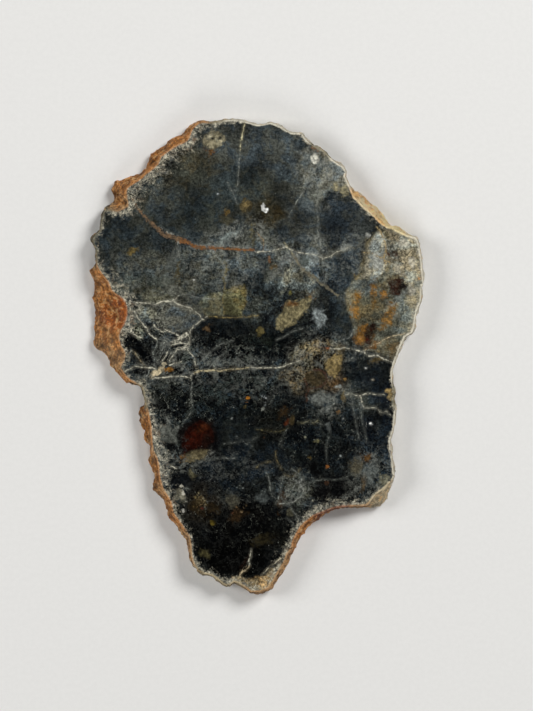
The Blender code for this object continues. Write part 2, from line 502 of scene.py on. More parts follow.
# %% Paint the zones
BASE = tint(24, 28, 29)
ZONES = (
    # x, y, radii, turn in degrees, colour, softness
    (128, 232, 40, 34, 0, tint(38, 43, 44), 0.35),
    (165, 205, 30, 22, 40, tint(44, 46, 42), 0.60),
    (155, 277, 50, 27, -8, tint(48, 51, 49), 0.30),
    (150, 290, 34, 12, -4, tint(64, 66, 58), 0.50),
    (205, 268, 30, 20, 0, tint(63, 65, 60), 0.45),
    (262, 262, 42, 24, 10, tint(62, 67, 67), 0.50),
    (262, 290, 30, 22, 20, tint(46, 51, 51), 0.50),
    (225, 240, 44, 12, 20, tint(66, 71, 70), 0.50),
    (336, 272, 38, 34, 0, tint(48, 53, 55), 0.35),
    (297, 275, 22, 18, 0, tint(80, 82, 76), 0.60),
    (316, 256, 16, 14, 0, tint(96, 100, 96), 0.50),
    (340, 250, 26, 10, 20, tint(62, 66, 66), 0.50),
    (242, 332, 36, 12, -4, tint(12, 15, 16), 0.30),
    (206, 338, 18, 9, 0, tint(12, 15, 16), 0.40),
    (146, 348, 26, 15, -12, tint(11, 13, 14), 0.50),
    (262, 344, 34, 12, 8, tint(12, 16, 15), 0.50),
    (376, 372, 20, 24, 0, tint(22, 27, 30), 0.50),
    (352, 322, 16, 18, 0, tint(34, 39, 40), 0.50),
    (160, 400, 34, 22, 20, tint(20, 23, 23), 0.50),
    (232, 404, 46, 26, 0, tint(15, 20, 22), 0.60),
    (276, 422, 26, 30, 0, tint(6, 7, 6), 0.60),
    (322, 442, 36, 32, 0, tint(9, 13, 15), 0.60),
    (376, 418, 24, 44, 0, tint(12, 16, 20), 0.60),
    (350, 400, 22, 18, 0, tint(36, 41, 42), 0.50),
    (232, 468, 48, 24, 10, tint(13, 18, 22), 0.50),
    (190, 482, 24, 12, 0, tint(15, 17, 19), 0.50),
    (240, 520, 54, 26, 0, tint(2, 2, 2), 0.50),
    (236, 556, 46, 30, 0, tint(1, 1, 1), 0.50),
    (200, 505, 18, 18, 0, tint(17, 14, 9), 0.60),
    (330, 492, 26, 14, 10, tint(8, 8, 8), 0.50),
    (286, 528, 14, 20, -30, tint(6, 6, 5), 0.50),
    (384, 460, 18, 30, 0, tint(26, 32, 36), 0.50),
    (296, 489, 15, 14, 0, tint(30, 32, 29), 0.40),
    (201, 437, 17, 20, -20, tint(14, 6, 4), 0.30),
)


def ellipse_reach(places, x, y, long, short, turn):
    """How far out each place lies from an ellipse's middle, as a share of its radii."""
    angle = math.radians(turn)
    dx, dy = places[:, 0] - x, y - places[:, 1]
    along = dx * math.cos(angle) + dy * math.sin(angle)
    across = dy * math.cos(angle) - dx * math.sin(angle)
    return np.hypot(along / long, across / short)


def painted(places, base, zones):
    """The zones laid over a base, which is one value for all places or one for each."""
    ground = np.array(np.broadcast_to(base, (len(places), np.shape(base)[-1])))
    for x, y, long, short, turn, colour, softness in zones:
        reach = ellipse_reach(places, x, y, long, short, turn)
        cover = 1 - smooth_step(reach, 1 - softness, 1 + softness)
        ground += cover[:, None] * (colour - ground)
    return ground


ground = painted(strayed, BASE, ZONES)
print("zones:", len(ZONES), "mean of the ground:", ground.mean(axis=0).round(3).tolist())

# %% [markdown]
# ## The great fragments
# Some old fragments are so large that their outlines show: the round dark one that fills the
# broad end, the dark ones at the right, the pale one at the right edge and a grey one at the
# left. An ellipse can't hold them, so each is an outline of a few corners, laid with an edge only
# a few squares soft. Inside them, a second pass of ellipses shades one side against another.

# %% Lay the great fragments
GREAT_FRAGMENTS = (
    # colour, softness in squares, corners
    (
        tint(50, 54, 54),
        5,
        (
            (188, 138), (222, 121), (262, 123), (290, 138), (304, 162), (301, 190), (290, 214),
            (268, 232), (240, 244), (206, 246), (182, 238), (162, 224), (146, 206), (156, 180),
            (170, 156),
        ),
    ),
    (
        tint(90, 93, 89),
        4,
        (
            (300, 150), (318, 146), (340, 162), (350, 186), (330, 192), (317, 204), (304, 216),
            (296, 214), (303, 188),
        ),
    ),
    (
        tint(39, 44, 47),
        3,
        (
            (318, 206), (330, 195), (346, 191), (364, 206), (380, 224), (366, 238), (352, 246),
            (334, 250), (318, 240), (314, 224),
        ),
    ),
    (
        tint(39, 45, 48),
        3,
        ((310, 268), (324, 258), (348, 256), (357, 272), (352, 294), (338, 304), (322, 296)),
    ),
    (
        tint(92, 89, 74),
        3,
        (
            (366, 250), (367, 238), (378, 230), (396, 230), (416, 237), (424, 262), (424, 292),
            (415, 326), (402, 342), (388, 356), (366, 349), (355, 333), (346, 306), (346, 294),
            (353, 281), (361, 268),
        ),
    ),
    (
        tint(108, 104, 91),
        4,
        (
            (388, 229), (402, 231), (416, 239), (423, 254), (424, 282), (412, 286), (400, 278),
            (390, 266), (387, 246),
        ),
    ),
    (
        tint(140, 140, 130),
        2,
        (
            (380, 231), (386, 240), (388, 262), (383, 272), (376, 281), (368, 283), (362, 276),
            (366, 262), (367, 248), (372, 238),
        ),
    ),
    (
        tint(88, 90, 82),
        4,
        ((395, 294), (412, 288), (418, 300), (412, 326), (400, 334), (390, 330), (392, 310)),
    ),
    (
        tint(60, 63, 62),
        2,
        (
            (136, 304), (152, 304), (172, 301), (188, 306), (204, 318), (190, 330), (172, 332),
            (156, 328), (144, 324),
        ),
    ),
    (tint(56, 59, 57), 2, ((176, 300), (183, 295), (198, 297), (208, 300), (204, 316), (190, 308))),
    (tint(82, 82, 68), 3, ((199, 302), (210, 293), (223, 292), (223, 316), (206, 316))),
    (tint(80, 75, 50), 2, ((223, 288), (244, 284), (247, 300), (240, 316), (223, 316))),
    (
        tint(51, 45, 33),
        6,
        ((290, 350), (322, 336), (346, 346), (342, 378), (322, 392), (296, 396), (280, 378)),
    ),
    (
        tint(126, 108, 80),
        2,
        (
            (232, 576), (246, 578), (262, 576), (276, 566), (290, 562), (280, 590), (250, 600),
            (230, 592),
        ),
    ),
)
SHADES = (
    # x, y, radii, turn in degrees, colour, softness
    (262, 148, 40, 24, 10, tint(58, 63, 64), 0.60),
    (205, 205, 44, 26, 35, tint(38, 43, 43), 0.60),
    (188, 170, 26, 20, 0, tint(54, 53, 44), 0.60),
    (250, 190, 30, 20, 0, tint(46, 50, 48), 0.60),
    (270, 211, 22, 14, 0, tint(44, 40, 28), 0.60),
    (322, 158, 12, 9, -45, tint(112, 113, 106), 0.60),
    (337, 172, 10, 12, 0, tint(104, 106, 101), 0.60),
    (312, 198, 12, 14, 0, tint(70, 75, 75), 0.60),
    (305, 224, 18, 26, -15, tint(54, 58, 58), 0.60),
    (417, 262, 6, 26, 0, tint(130, 126, 110), 0.60),
    (366, 286, 10, 10, 0, tint(92, 95, 89), 0.50),
    (362, 312, 10, 16, 0, tint(84, 78, 60), 0.60),
    (414, 306, 6, 26, 8, tint(122, 118, 102), 0.60),
    (392, 350, 16, 8, -20, tint(82, 74, 54), 0.60),
    (148, 313, 8, 7, 0, tint(74, 77, 72), 0.60),
    (136, 327, 6, 9, 20, tint(72, 75, 68), 0.25),
    (304, 352, 14, 10, 0, tint(56, 52, 40), 0.60),
    (330, 384, 14, 10, 0, tint(46, 36, 24), 0.60),
)


def signed_depth(places, corners_of_one):
    """How deep inside an outline each place lies, below zero for places outside."""
    outline = np.array(corners_of_one, float)
    flat = np.zeros(len(outline))
    gap = nearest(places, outline, np.roll(outline, -1, axis=0), flat, flat)[0]
    return np.where(inside(places, outline), gap, -gap)


trembling = wandering(spots, 7.0, 2.2, 8.5)
for shade, softness, outline in GREAT_FRAGMENTS:
    cover = smooth_step(signed_depth(trembling, outline), -softness / 2, softness / 2)
    ground += cover[:, None] * (shade - ground)
ground = painted(strayed, ground, SHADES)
keep_colour("ground", ground)
print("great fragments:", len(GREAT_FRAGMENTS))

# %% [markdown]
# ## Where the stone is rubbly or cloudy
# The same brush paints two plain numbers: how much of a place is black lumps in a grey net, and
# how much pale powder drifts through it.

# %% Paint the rubble and the clouds
RUBBLE = (
    # x, y, radii, turn in degrees, share, softness
    (160, 275, 60, 34, -8, 0.30, 0.40),
    (215, 270, 60, 28, 0, 0.35, 0.50),
    (168, 318, 36, 16, -6, 0.45, 0.25),
    (200, 355, 80, 26, -6, 0.90, 0.35),
    (150, 352, 28, 26, 0, 1.00, 0.40),
    (180, 400, 46, 26, 0, 0.85, 0.45),
    (270, 385, 60, 30, 0, 0.70, 0.60),
    (310, 360, 36, 28, 25, 0.85, 0.40),
    (285, 305, 40, 28, 0, 0.55, 0.50),
    (330, 430, 56, 46, 0, 0.50, 0.60),
    (360, 500, 40, 14, 20, 0.60, 0.60),
    (290, 495, 36, 26, 0, 0.80, 0.50),
    (170, 465, 34, 30, 30, 0.75, 0.60),
    (230, 510, 60, 34, 0, 0.50, 0.60),
    (370, 474, 24, 26, 0, 0.70, 0.50),
    (300, 262, 44, 16, -28, 0.60, 0.50),
    (330, 168, 26, 30, -40, 0.25, 0.40),
    (395, 290, 36, 60, 8, 0.22, 0.30),
    (405, 250, 18, 24, 0, 0.40, 0.40),
    (186, 320, 20, 12, 0, 0.20, 0.50),
    (140, 345, 22, 14, 0, 1.00, 0.40),
    (258, 586, 30, 12, 0, 0.45, 0.40),
    (150, 170, 40, 22, 38, 0.55, 0.50),
)
CLOUD = (
    (225, 240, 42, 13, 24, 0.75, 0.50),
    (196, 262, 34, 16, 10, 0.55, 0.60),
    (150, 280, 48, 22, -8, 0.30, 0.60),
    (232, 270, 26, 20, 0, 0.50, 0.60),
    (300, 262, 40, 12, -28, 0.70, 0.50),
    (318, 250, 14, 16, 20, 0.85, 0.50),
    (322, 165, 22, 26, -50, 0.80, 0.40),
    (325, 195, 22, 16, 0, 0.45, 0.50),
    (352, 255, 14, 22, 0, 0.50, 0.60),
    (400, 300, 20, 50, 8, 0.40, 0.40),
    (200, 368, 60, 16, 4, 0.55, 0.60),
    (255, 385, 50, 14, 0, 0.25, 0.60),
    (318, 358, 34, 22, 20, 0.50, 0.60),
    (338, 402, 24, 10, 30, 0.55, 0.60),
    (294, 490, 18, 15, 10, 0.62, 0.50),
    (176, 344, 24, 12, 0, 0.42, 0.50),
    (226, 500, 36, 6, 0, 0.16, 0.60),
    (168, 442, 16, 26, 10, 0.75, 0.50),
    (196, 458, 20, 6, 24, 0.80, 0.50),
    (200, 466, 34, 8, 18, 0.50, 0.50),
    (372, 476, 22, 26, 0, 0.60, 0.50),
    (330, 506, 34, 8, 20, 0.40, 0.50),
    (226, 466, 40, 16, 0, 0.22, 0.60),
    (146, 400, 8, 34, 4, 0.45, 0.60),
    (230, 356, 20, 8, 30, 0.35, 0.60),
    (372, 352, 30, 12, 0, 0.40, 0.60),
)
rubble_share = painted(strayed, [0.08], RUBBLE)
cloud_share = painted(strayed, [0.03], CLOUD)
keep_number("rubble", rubble_share[:, 0])
keep_number("cloud", cloud_share[:, 0])
print("mean rubble:", rubble_share.mean().round(2), "mean cloud:", cloud_share.mean().round(2))

# %% [markdown]
# ## Clasts
# The smaller fragments need crisper edges than the mesh's points can hold as colour. So each
# point keeps how far it is from the nearest clast's edge, below zero inside, and the clast's
# colour. Distances run evenly between points, and the shader cuts them off where they pass zero,
# so an edge stays sharp however close one looks.
# The clasts with a shape of their own come first, each as an outline of a few corners. Among them
# is the one that catches the eye, a red clast in a black ring at the left of the lower half.

# %% Outline the clasts with a shape of their own
OUTLINED_CLASTS = (
    # colour, blur, corners
    (
        tint(13, 11, 10),
        1.6,
        (
            (176, 431), (186, 422), (200, 418), (213, 422), (219, 432), (218, 444), (211, 450),
            (196, 453), (187, 460), (179, 452),
        ),
    ),
    (
        tint(88, 80, 58),
        1.8,
        ((186, 456), (194, 451), (204, 450), (211, 450), (204, 459), (193, 462), (182, 462)),
    ),
    (
        tint(33, 9, 4),
        1.5,
        (
            (190, 426), (200, 421), (209, 424), (214, 432), (213, 441), (207, 447), (198, 448),
            (190, 451), (184, 456), (182, 447), (182, 437), (185, 431),
        ),
    ),
    (
        tint(78, 80, 74),
        1.6,
        ((160, 429), (169, 424), (176, 430), (177, 445), (171, 450), (163, 446), (158, 438)),
    ),
    (
        tint(11, 13, 15),
        1.2,
        (
            (165, 479), (175, 471), (188, 472), (195, 480), (188, 490), (173, 494), (164, 489),
        ),
    ),
    (
        tint(122, 113, 83),
        2.0,
        (
            (276, 326), (278, 316), (284, 309), (285, 302), (297, 300), (311, 297), (312, 303),
            (306, 310), (300, 318), (290, 326), (281, 332),
        ),
    ),
    (
        tint(126, 133, 131),
        2.2,
        ((314, 309), (320, 308), (326, 317), (324, 326), (318, 330), (313, 320)),
    ),
    (
        tint(122, 106, 70),
        1.6,
        (
            (326, 358), (334, 355), (341, 352), (342, 362), (340, 374), (334, 377), (327, 374),
            (325, 366),
        ),
    ),
    (
        tint(58, 50, 34),
        2.0,
        ((308, 372), (320, 370), (326, 378), (322, 386), (311, 388), (305, 381)),
    ),
    (
        tint(104, 110, 108),
        2.0,
        ((308, 252), (315, 250), (319, 257), (315, 266), (309, 262)),
    ),
    (tint(62, 66, 64), 1.6, ((256, 494), (266, 491), (270, 499), (262, 504), (255, 501))),
    (
        tint(228, 228, 222),
        0.5,
        ((260, 205), (263, 204), (266, 207), (269, 207), (269, 211), (265, 212), (262, 209)),
    ),
)
print("outlined clasts:", len(OUTLINED_CLASTS))

# %% [markdown]
# ## Rounder clasts
# The others are ellipses: blurred ones, which weathering has stained at the edges, and clear
# ones. The stained ones are the warm patches at the right edge and the browns near the middle.

# %% Place the rounder clasts
BLURRED_CLASTS = (
    # x, y, radii, turn in degrees, colour
    (211, 150, 4, 6, -10, tint(92, 66, 38)),
    (320, 398, 9, 7, 10, tint(88, 91, 86)),
    (292, 304, 7, 3, 6, tint(92, 66, 38)),
    (357, 298, 4, 7, -16, tint(136, 98, 44)),
    (355, 312, 5, 7, 10, tint(130, 94, 46)),
    (375, 289, 3.5, 7, -12, tint(122, 90, 46)),
    (384, 294, 3, 5, -30, tint(120, 86, 42)),
    (374, 303, 3, 5, 0, tint(112, 86, 46)),
    (391, 311, 4, 8, -25, tint(118, 86, 42)),
    (386, 322, 4, 10, -38, tint(118, 88, 46)),
    (358, 277, 3, 3, 0, tint(118, 100, 62)),
    (396, 286, 9, 9.5, 0, tint(44, 27, 19)),
    (404, 287, 5, 5, 0, tint(24, 20, 18)),
    (366, 334, 10, 10, 20, tint(104, 74, 34)),
    (360, 340, 6, 5, 0, tint(124, 88, 42)),
    (374, 344, 7, 4, 10, tint(96, 66, 32)),
    (392, 347, 7, 5, -20, tint(104, 86, 58)),
    (376, 359, 6, 3, 0, tint(72, 60, 34)),
    (371, 331, 5, 9, -20, tint(30, 14, 7)),
    (369, 342, 3.5, 6, -10, tint(42, 13, 7)),
    (357, 468, 7, 10, 15, tint(72, 68, 55)),
    (370, 474, 7, 13, -6, tint(88, 92, 88)),
    (367, 458, 5, 5, 0, tint(84, 60, 32)),
    (364, 484, 3, 9, -10, tint(74, 64, 48)),
    (232, 501, 7, 7, 20, tint(62, 60, 50)),
    (204, 554, 6, 4, 0, tint(58, 54, 34)),
    (237, 516, 9, 6, 30, tint(38, 28, 16)),
    (262, 540, 11, 6, 10, tint(34, 30, 18)),
    (214, 508, 7, 5, 10, tint(34, 27, 16)),
    (196, 506, 8, 6, 0, tint(36, 29, 17)),
    (201, 500, 6, 4, 20, tint(60, 50, 32)),
    (301, 154, 4, 2.4, 0, tint(108, 113, 110)),
    (306, 201, 4, 7, 0, tint(84, 92, 92)),
    (304, 260, 6, 6, 0, tint(72, 78, 74)),
    (336, 187, 6, 3.5, -25, tint(142, 134, 104)),
    (344, 191, 5, 5, -25, tint(146, 138, 108)),
    (347, 246, 6, 3, 15, tint(116, 120, 114)),
    (225, 271, 1.8, 6, 0, tint(112, 102, 66)),
    (252, 232, 2.2, 9, 0, tint(84, 78, 54)),
    (207, 441, 5, 8, -30, tint(24, 11, 7)),
    (204, 428, 7, 4, 30, tint(50, 22, 9)),
    (192, 440, 6, 8, -20, tint(42, 12, 5)),
    (182, 458, 4, 3, 0, tint(88, 62, 30)),
    (192, 474, 3, 5, 20, tint(84, 80, 60)),
    (180, 495, 5, 6, 20, tint(112, 108, 92)),
    (226, 237, 13, 2.6, 36, tint(112, 120, 115)),
    (236, 232, 7, 2.4, 50, tint(118, 125, 120)),
    (220, 243, 9, 2.4, 12, tint(104, 110, 105)),
    (290, 259, 9, 4, -10, tint(110, 112, 106)),
    (282, 266, 2, 5, 0, tint(122, 125, 120)),
    (178, 274, 3, 10, -4, tint(70, 63, 42)),
    (166, 282, 8, 5, 10, tint(74, 76, 68)),
    (275, 275, 8, 4, 40, tint(92, 94, 88)),
    (190, 484, 4, 3, 30, tint(26, 27, 26)),
    (171, 447, 10, 5, -28, tint(6, 7, 8)),
    (215, 447, 5, 6, -20, tint(5, 5, 6)),
    (284, 412, 4, 7, -40, tint(42, 31, 17)),
    (332, 305, 5, 5, 0, tint(10, 13, 15)),
    (266, 318, 6, 6, 0, tint(10, 13, 15)),
    (226, 219, 8, 6, 0, tint(58, 56, 44)),
    (208, 328, 3, 3, 0, tint(80, 64, 44)),
    (310, 296, 3, 2, 0, tint(118, 96, 62)),
    (281, 500, 3, 9, -12, tint(46, 32, 17)),
    (320, 492, 9, 6, 10, tint(8, 8, 8)),
    (314, 468, 6, 9, 20, tint(9, 10, 10)),
    (262, 446, 7, 5, 0, tint(9, 11, 10)),
    (384, 480, 5, 6, 30, tint(98, 96, 80)),
)
CLEAR_CLASTS = (
    (214, 140, 11, 9, 10, tint(122, 115, 92)),
    (209, 137, 4, 3, 10, tint(164, 156, 130)),
    (219, 142, 3, 4, 10, tint(156, 148, 120)),
    (213.5, 139, 2, 1.8, 0, tint(24, 22, 16)),
    (220, 138.5, 1.6, 1.8, 0, tint(24, 22, 16)),
    (227, 211, 3.2, 3.4, 0, tint(96, 78, 44)),
    (246, 205, 6, 7, 0, tint(70, 62, 42)),
    (246, 204, 3.5, 4, 0, tint(104, 90, 58)),
    (133, 251, 6.5, 3.6, 35, tint(98, 84, 48)),
    (171, 262, 5, 11, -20, tint(76, 79, 74)),
    (174, 290, 9, 6, 0, tint(92, 93, 84)),
    (244, 252, 2, 3, 0, tint(80, 76, 60)),
    (260, 332, 4.6, 5, 0, tint(78, 70, 42)),
    (344, 396, 2.4, 6, 0, tint(104, 92, 64)),
    (388, 391, 4, 3, 20, tint(140, 118, 76)),
    (391, 396, 2.5, 4, -20, tint(132, 114, 76)),
    (287, 422, 2.2, 4.2, 0, tint(58, 28, 14)),
    (292, 421, 3, 5, 0, tint(62, 53, 34)),
    (315, 158, 3.2, 5.2, 10, tint(186, 184, 170)),
    (404, 243, 5, 3.6, 0, tint(168, 163, 146)),
    (412, 262, 3.6, 7, 0, tint(166, 160, 142)),
    (399, 268, 3.4, 5, 20, tint(148, 142, 124)),
    (405, 233, 9, 2.4, -12, tint(184, 176, 150)),
    (395, 252, 2.6, 3, 0, tint(44, 34, 26)),
    (411, 290, 3, 6, 10, tint(142, 138, 124)),
    (378, 262, 5, 10, 10, tint(146, 147, 138)),
    (368, 235.5, 2.2, 2.6, 0, tint(150, 150, 142)),
    (158, 372, 8, 2.6, 38, tint(182, 168, 136)),
    (164, 364, 2.6, 3.2, 20, tint(188, 176, 146)),
    (170, 369.5, 5, 3, 10, tint(126, 88, 36)),
    (338, 387, 3.6, 1.8, 10, tint(124, 128, 122)),
    (330, 389, 1.8, 2.4, 0, tint(8, 9, 10)),
    (264, 409, 1.4, 1.4, 0, tint(104, 106, 98)),
    (316, 441, 2.2, 1.6, 0, tint(88, 84, 58)),
    (329, 427, 3, 4.4, 0, tint(72, 76, 74)),
    (213, 523, 3, 3, 0, tint(84, 72, 26)),
    (290, 513, 3.6, 3.6, 0, tint(72, 70, 56)),
    (269, 259, 2, 3, 0, tint(92, 68, 48)),
    (273, 266, 3, 2, -20, tint(84, 68, 42)),
    (291, 292, 1.6, 3, 0, tint(84, 80, 40)),
    (186, 245, 2.2, 1.6, 0, tint(10, 12, 12)),
)
CLEAR, BLURRED = 0.9, 2.2


def drop_edges(places, group, blur):
    for x, y, long, short, turn, shade in group:
        reach = ellipse_reach(places, x, y, long, short, turn)
        yield (reach - 1) * min(long, short) / blur, shade


def outline_edges(places):
    for shade, blur, outline in OUTLINED_CLASTS:
        yield -signed_depth(places, outline) / blur, shade


def clast_edges(places):
    """How far each place is outside the nearest clast's edge and that clast's colour. The gap is
    in squares for a clear edge, and shrinks as much as an edge is blurred. A clear clast cuts
    into those under it, and the others blend with them."""
    gap = np.full(len(places), 1e3)
    colour = np.zeros((len(places), 3))
    groups = (
        (outline_edges(places), False),
        (drop_edges(places, BLURRED_CLASTS, BLURRED), False),
        (drop_edges(places, CLEAR_CLASTS, CLEAR), True),
    )
    for group, cuts in groups:
        for away, shade in group:
            nearer = away < gap
            share = np.where(nearer, 1.0, smooth_step(-away, -0.8, 0.8))
            colour += share[:, None] * (shade - colour)
            gap = np.where(nearer | (cuts & (away < 0)), away, gap)
    return gap, colour


clast_gap, clast_colour = clast_edges(trembling)
keep_number("clast_gap", clast_gap)
keep_colour("clast_colour", clast_colour)
print("points inside a clast:", int((clast_gap < 0).sum()))

# %% [markdown]
# ## Veins
# Cracks in the stone filled with pale carbonate long after it broke. Each vein is a list of
# places on the drawing with a half-width at its two ends. Every point of the mesh keeps the
# nearest place on a vein. The shader then measures from its own position to that place, so it
# draws the line itself, and a vein thinner than the triangles still comes out clean.
# Halfway between two veins the nearest place jumps from one to the other and would draw a false
# line, so the shader also reads the plain distance, which is large there, and leaves it out.
# The first group is the white net at the left, where the stone is most broken.

# %% The white net at the left
IVORY = tint(190, 186, 166)
CHALK = tint(126, 129, 121)
NET_VEINS = (
    # first half-width, last half-width, colour, places
    (0.9, 0.6, IVORY, ((122, 296), (127, 303), (126, 310), (127, 318), (122, 326))),
    (0.6, 0.7, IVORY, ((136, 303), (145, 303), (152, 304), (155, 305), (160, 302), (166, 301))),
    (0.8, 0.4, IVORY, ((166, 301), (171, 301), (175, 299), (178, 296))),
    (0.6, 0.5, IVORY, ((173, 301), (177, 304), (184, 306), (190, 308), (194, 311), (198, 313))),
    (0.5, 0.4, IVORY, ((198, 313), (201, 317), (204, 320))),
    (0.4, 0.3, CHALK, ((178, 296), (184, 295), (190, 294), (198, 298), (215, 299))),
    (0.6, 0.7, IVORY, ((134, 311), (138, 318), (143, 325), (147, 329), (149, 334), (151, 336))),
    (0.9, 0.5, IVORY, ((151, 336), (154, 338), (158, 340))),
    (0.9, 0.7, IVORY, ((130, 318), (129, 324), (131, 330), (134, 334), (138, 337), (142, 338))),
    (0.4, 0.4, IVORY, ((124, 328), (128, 331), (134, 335), (138, 337))),
    (0.4, 0.4, IVORY, ((137, 304), (139, 308), (141, 313))),
    (0.3, 0.3, CHALK, ((158, 340), (163, 338), (168, 339), (172, 342))),
    (0.3, 0.3, CHALK, ((163, 346), (168, 345), (171, 345))),
    (0.3, 0.3, CHALK, ((196, 366), (203, 360), (210, 352), (220, 344), (233, 340))),
    (0.3, 0.3, CHALK, ((213, 363), (218, 366), (226, 362), (236, 364))),
    (0.3, 0.3, CHALK, ((135, 384), (140, 378), (147, 376))),
    (0.3, 0.3, CHALK, ((124, 363), (130, 358), (131, 350))),
    (0.7, 0.8, IVORY, ((154, 325), (156, 328), (159, 330), (163, 332))),
    (0.8, 0.8, IVORY, ((166, 330), (171, 332), (176, 334), (181, 337), (184, 334), (187, 332))),
    (0.8, 0.6, IVORY, ((172, 342), (176, 340), (181, 339), (185, 337), (188, 334), (192, 328))),
    (0.5, 0.5, IVORY, ((192, 328), (196, 325), (200, 321), (208, 316))),
    (0.4, 0.4, IVORY, ((189, 331), (190, 337), (189, 343))),
    (0.8, 0.6, IVORY, ((171, 345), (176, 344), (181, 343), (184, 344), (189, 344))),
    (0.6, 0.5, IVORY, ((170, 360), (172, 357), (175, 353), (178, 350), (183, 349), (189, 346))),
    (0.7, 0.6, IVORY, ((188, 350), (191, 354), (194, 357), (196, 366))),
    (0.6, 0.5, IVORY, ((162, 360), (164, 358), (168, 352))),
    (0.4, 0.4, CHALK, ((158, 340), (157, 345), (153, 352), (155, 360))),
    (0.4, 0.4, CHALK, ((163, 340), (164, 347), (160, 353), (158, 359))),
    (0.5, 0.5, tint(128, 116, 90), ((134, 351), (137, 356), (141, 361), (146, 367), (149, 369))),
    (0.6, 0.6, IVORY, ((125, 371), (130, 369), (136, 366), (143, 367), (150, 368), (155, 369))),
    (0.5, 0.5, CHALK, ((149, 369), (149, 373), (147, 376), (146, 380), (147, 385))),
    (0.6, 0.6, IVORY, ((170, 365), (175, 363), (181, 362))),
    (0.4, 0.4, CHALK, ((152, 376), (153, 381), (150, 384), (147, 386))),
    (0.6, 0.6, IVORY, ((152, 378), (165, 377), (180, 376), (191, 378), (192, 375), (195, 373))),
    (1.3, 0.9, tint(172, 160, 126), ((195, 373), (200, 371), (208, 371), (220, 371))),
    (0.8, 0.6, tint(160, 148, 116), ((220, 371), (235, 369), (250, 367))),
    (0.6, 0.5, IVORY, ((250, 367), (262, 368), (275, 368), (288, 365), (300, 361))),
    (0.4, 0.3, CHALK, ((207, 371), (213, 363), (220, 357), (226, 352))),
    (0.6, 0.5, tint(128, 112, 68), ((209, 316), (225, 318), (240, 317), (258, 316))),
    (0.6, 0.6, tint(104, 92, 56), ((225, 284), (223, 298), (224, 315))),
    (0.5, 0.4, CHALK, ((192, 382), (191, 395), (192, 406))),
    (0.3, 0.3, CHALK, ((191, 413), (184, 421))),
)
print("veins of the net:", len(NET_VEINS))

# %% [markdown]
# ## The broad end
# The widest vein of all crosses here. It is stained brown, mottled, and has a cream edge along
# its upper side. The others are thin, and one runs straight down from the top edge.

# %% The veins of the broad end
SEAM = tint(9, 10, 10)
RUST = tint(114, 77, 43)
OLD_RUST = tint(105, 84, 62)
UPPER_VEINS = (
    (0.9, 0.5, tint(184, 176, 140), ((245, 121), (242, 135), (240, 150))),
    (0.5, 0.3, CHALK, ((240, 150), (239, 165), (238, 178), (237, 190))),
    (0.8, 1.6, OLD_RUST, ((133, 199), (137, 208), (142, 213))),
    (2.0, 3.0, OLD_RUST, ((142, 213), (150, 222), (160, 231), (168, 236), (180, 240))),
    (3.0, 2.0, RUST, ((180, 240), (188, 243), (196, 247), (205, 248))),
    (1.7, 1.3, RUST, ((205, 248), (225, 248.6), (240, 249.5), (254, 250))),
    (0.3, 0.3, CHALK, ((160, 226), (168, 232), (180, 236))),
    (0.4, 0.3, CHALK, ((192, 243), (206, 244.5), (225, 246), (252, 247.4))),
    (0.4, 0.3, CHALK, ((228, 183), (233, 193), (237, 203))),
    (0.5, 0.3, CHALK, ((178, 240), (178, 250), (180, 258))),
    (0.4, 0.4, CHALK, ((213, 252), (218, 258), (222, 262), (225, 268), (224, 276), (227, 283))),
    (0.6, 0.5, IVORY, ((255, 252), (263, 252), (272, 251), (279, 249), (286, 247), (291, 250))),
    (0.5, 0.4, tint(132, 112, 84), ((258, 233), (263, 240), (264, 247), (262, 251))),
    (0.6, 0.5, tint(132, 126, 100), ((284, 243), (287, 247), (290, 250), (293, 254))),
    (0.6, 0.5, IVORY, ((291, 250), (297, 252), (304, 253), (312, 254), (322, 258))),
    (1.2, 2.2, tint(104, 98, 80), ((293, 255), (297, 261), (301, 267), (305, 271), (311, 276))),
    (2.2, 1.4, tint(104, 98, 80), ((311, 276), (316, 279), (321, 283), (327, 287), (338, 296))),
    (0.5, 0.4, CHALK, ((329, 166), (326, 171), (322, 175), (317, 178), (312, 180))),
    (0.4, 0.4, CHALK, ((325, 158), (323, 163), (325, 169))),
    (0.5, 0.9, SEAM, ((326, 173), (319, 177), (311, 183), (306, 187), (305, 193))),
    (0.4, 0.5, CHALK, ((311, 165), (310, 172), (308, 182), (304, 187), (303, 192))),
    (0.5, 0.3, CHALK, ((303, 192), (298, 200), (292, 210), (289, 217))),
    (0.9, 0.7, tint(130, 134, 122), ((331, 184), (329, 189), (325, 192), (320, 194), (311, 195))),
    (0.4, 0.4, CHALK, ((318, 195), (317, 208), (318, 225), (319, 240))),
    (0.4, 0.4, CHALK, ((315, 181), (317, 185), (317, 192))),
    (0.4, 0.4, IVORY, ((322, 259), (327, 257), (331, 256), (336, 252), (342, 250), (350, 247))),
    (0.3, 0.3, CHALK, ((340, 251), (342, 245), (346, 240))),
    (0.3, 0.3, CHALK, ((331, 256), (334, 262), (333, 270))),
    (0.3, 0.4, CHALK, ((319, 240), (320, 248), (318, 254), (312, 262))),
)
print("veins of the broad end:", len(UPPER_VEINS))

# %% [markdown]
# ## The right side
# Here the pale fragment is bounded by black seams and cut by tan ones, and two long cream veins
# run out to the edge.

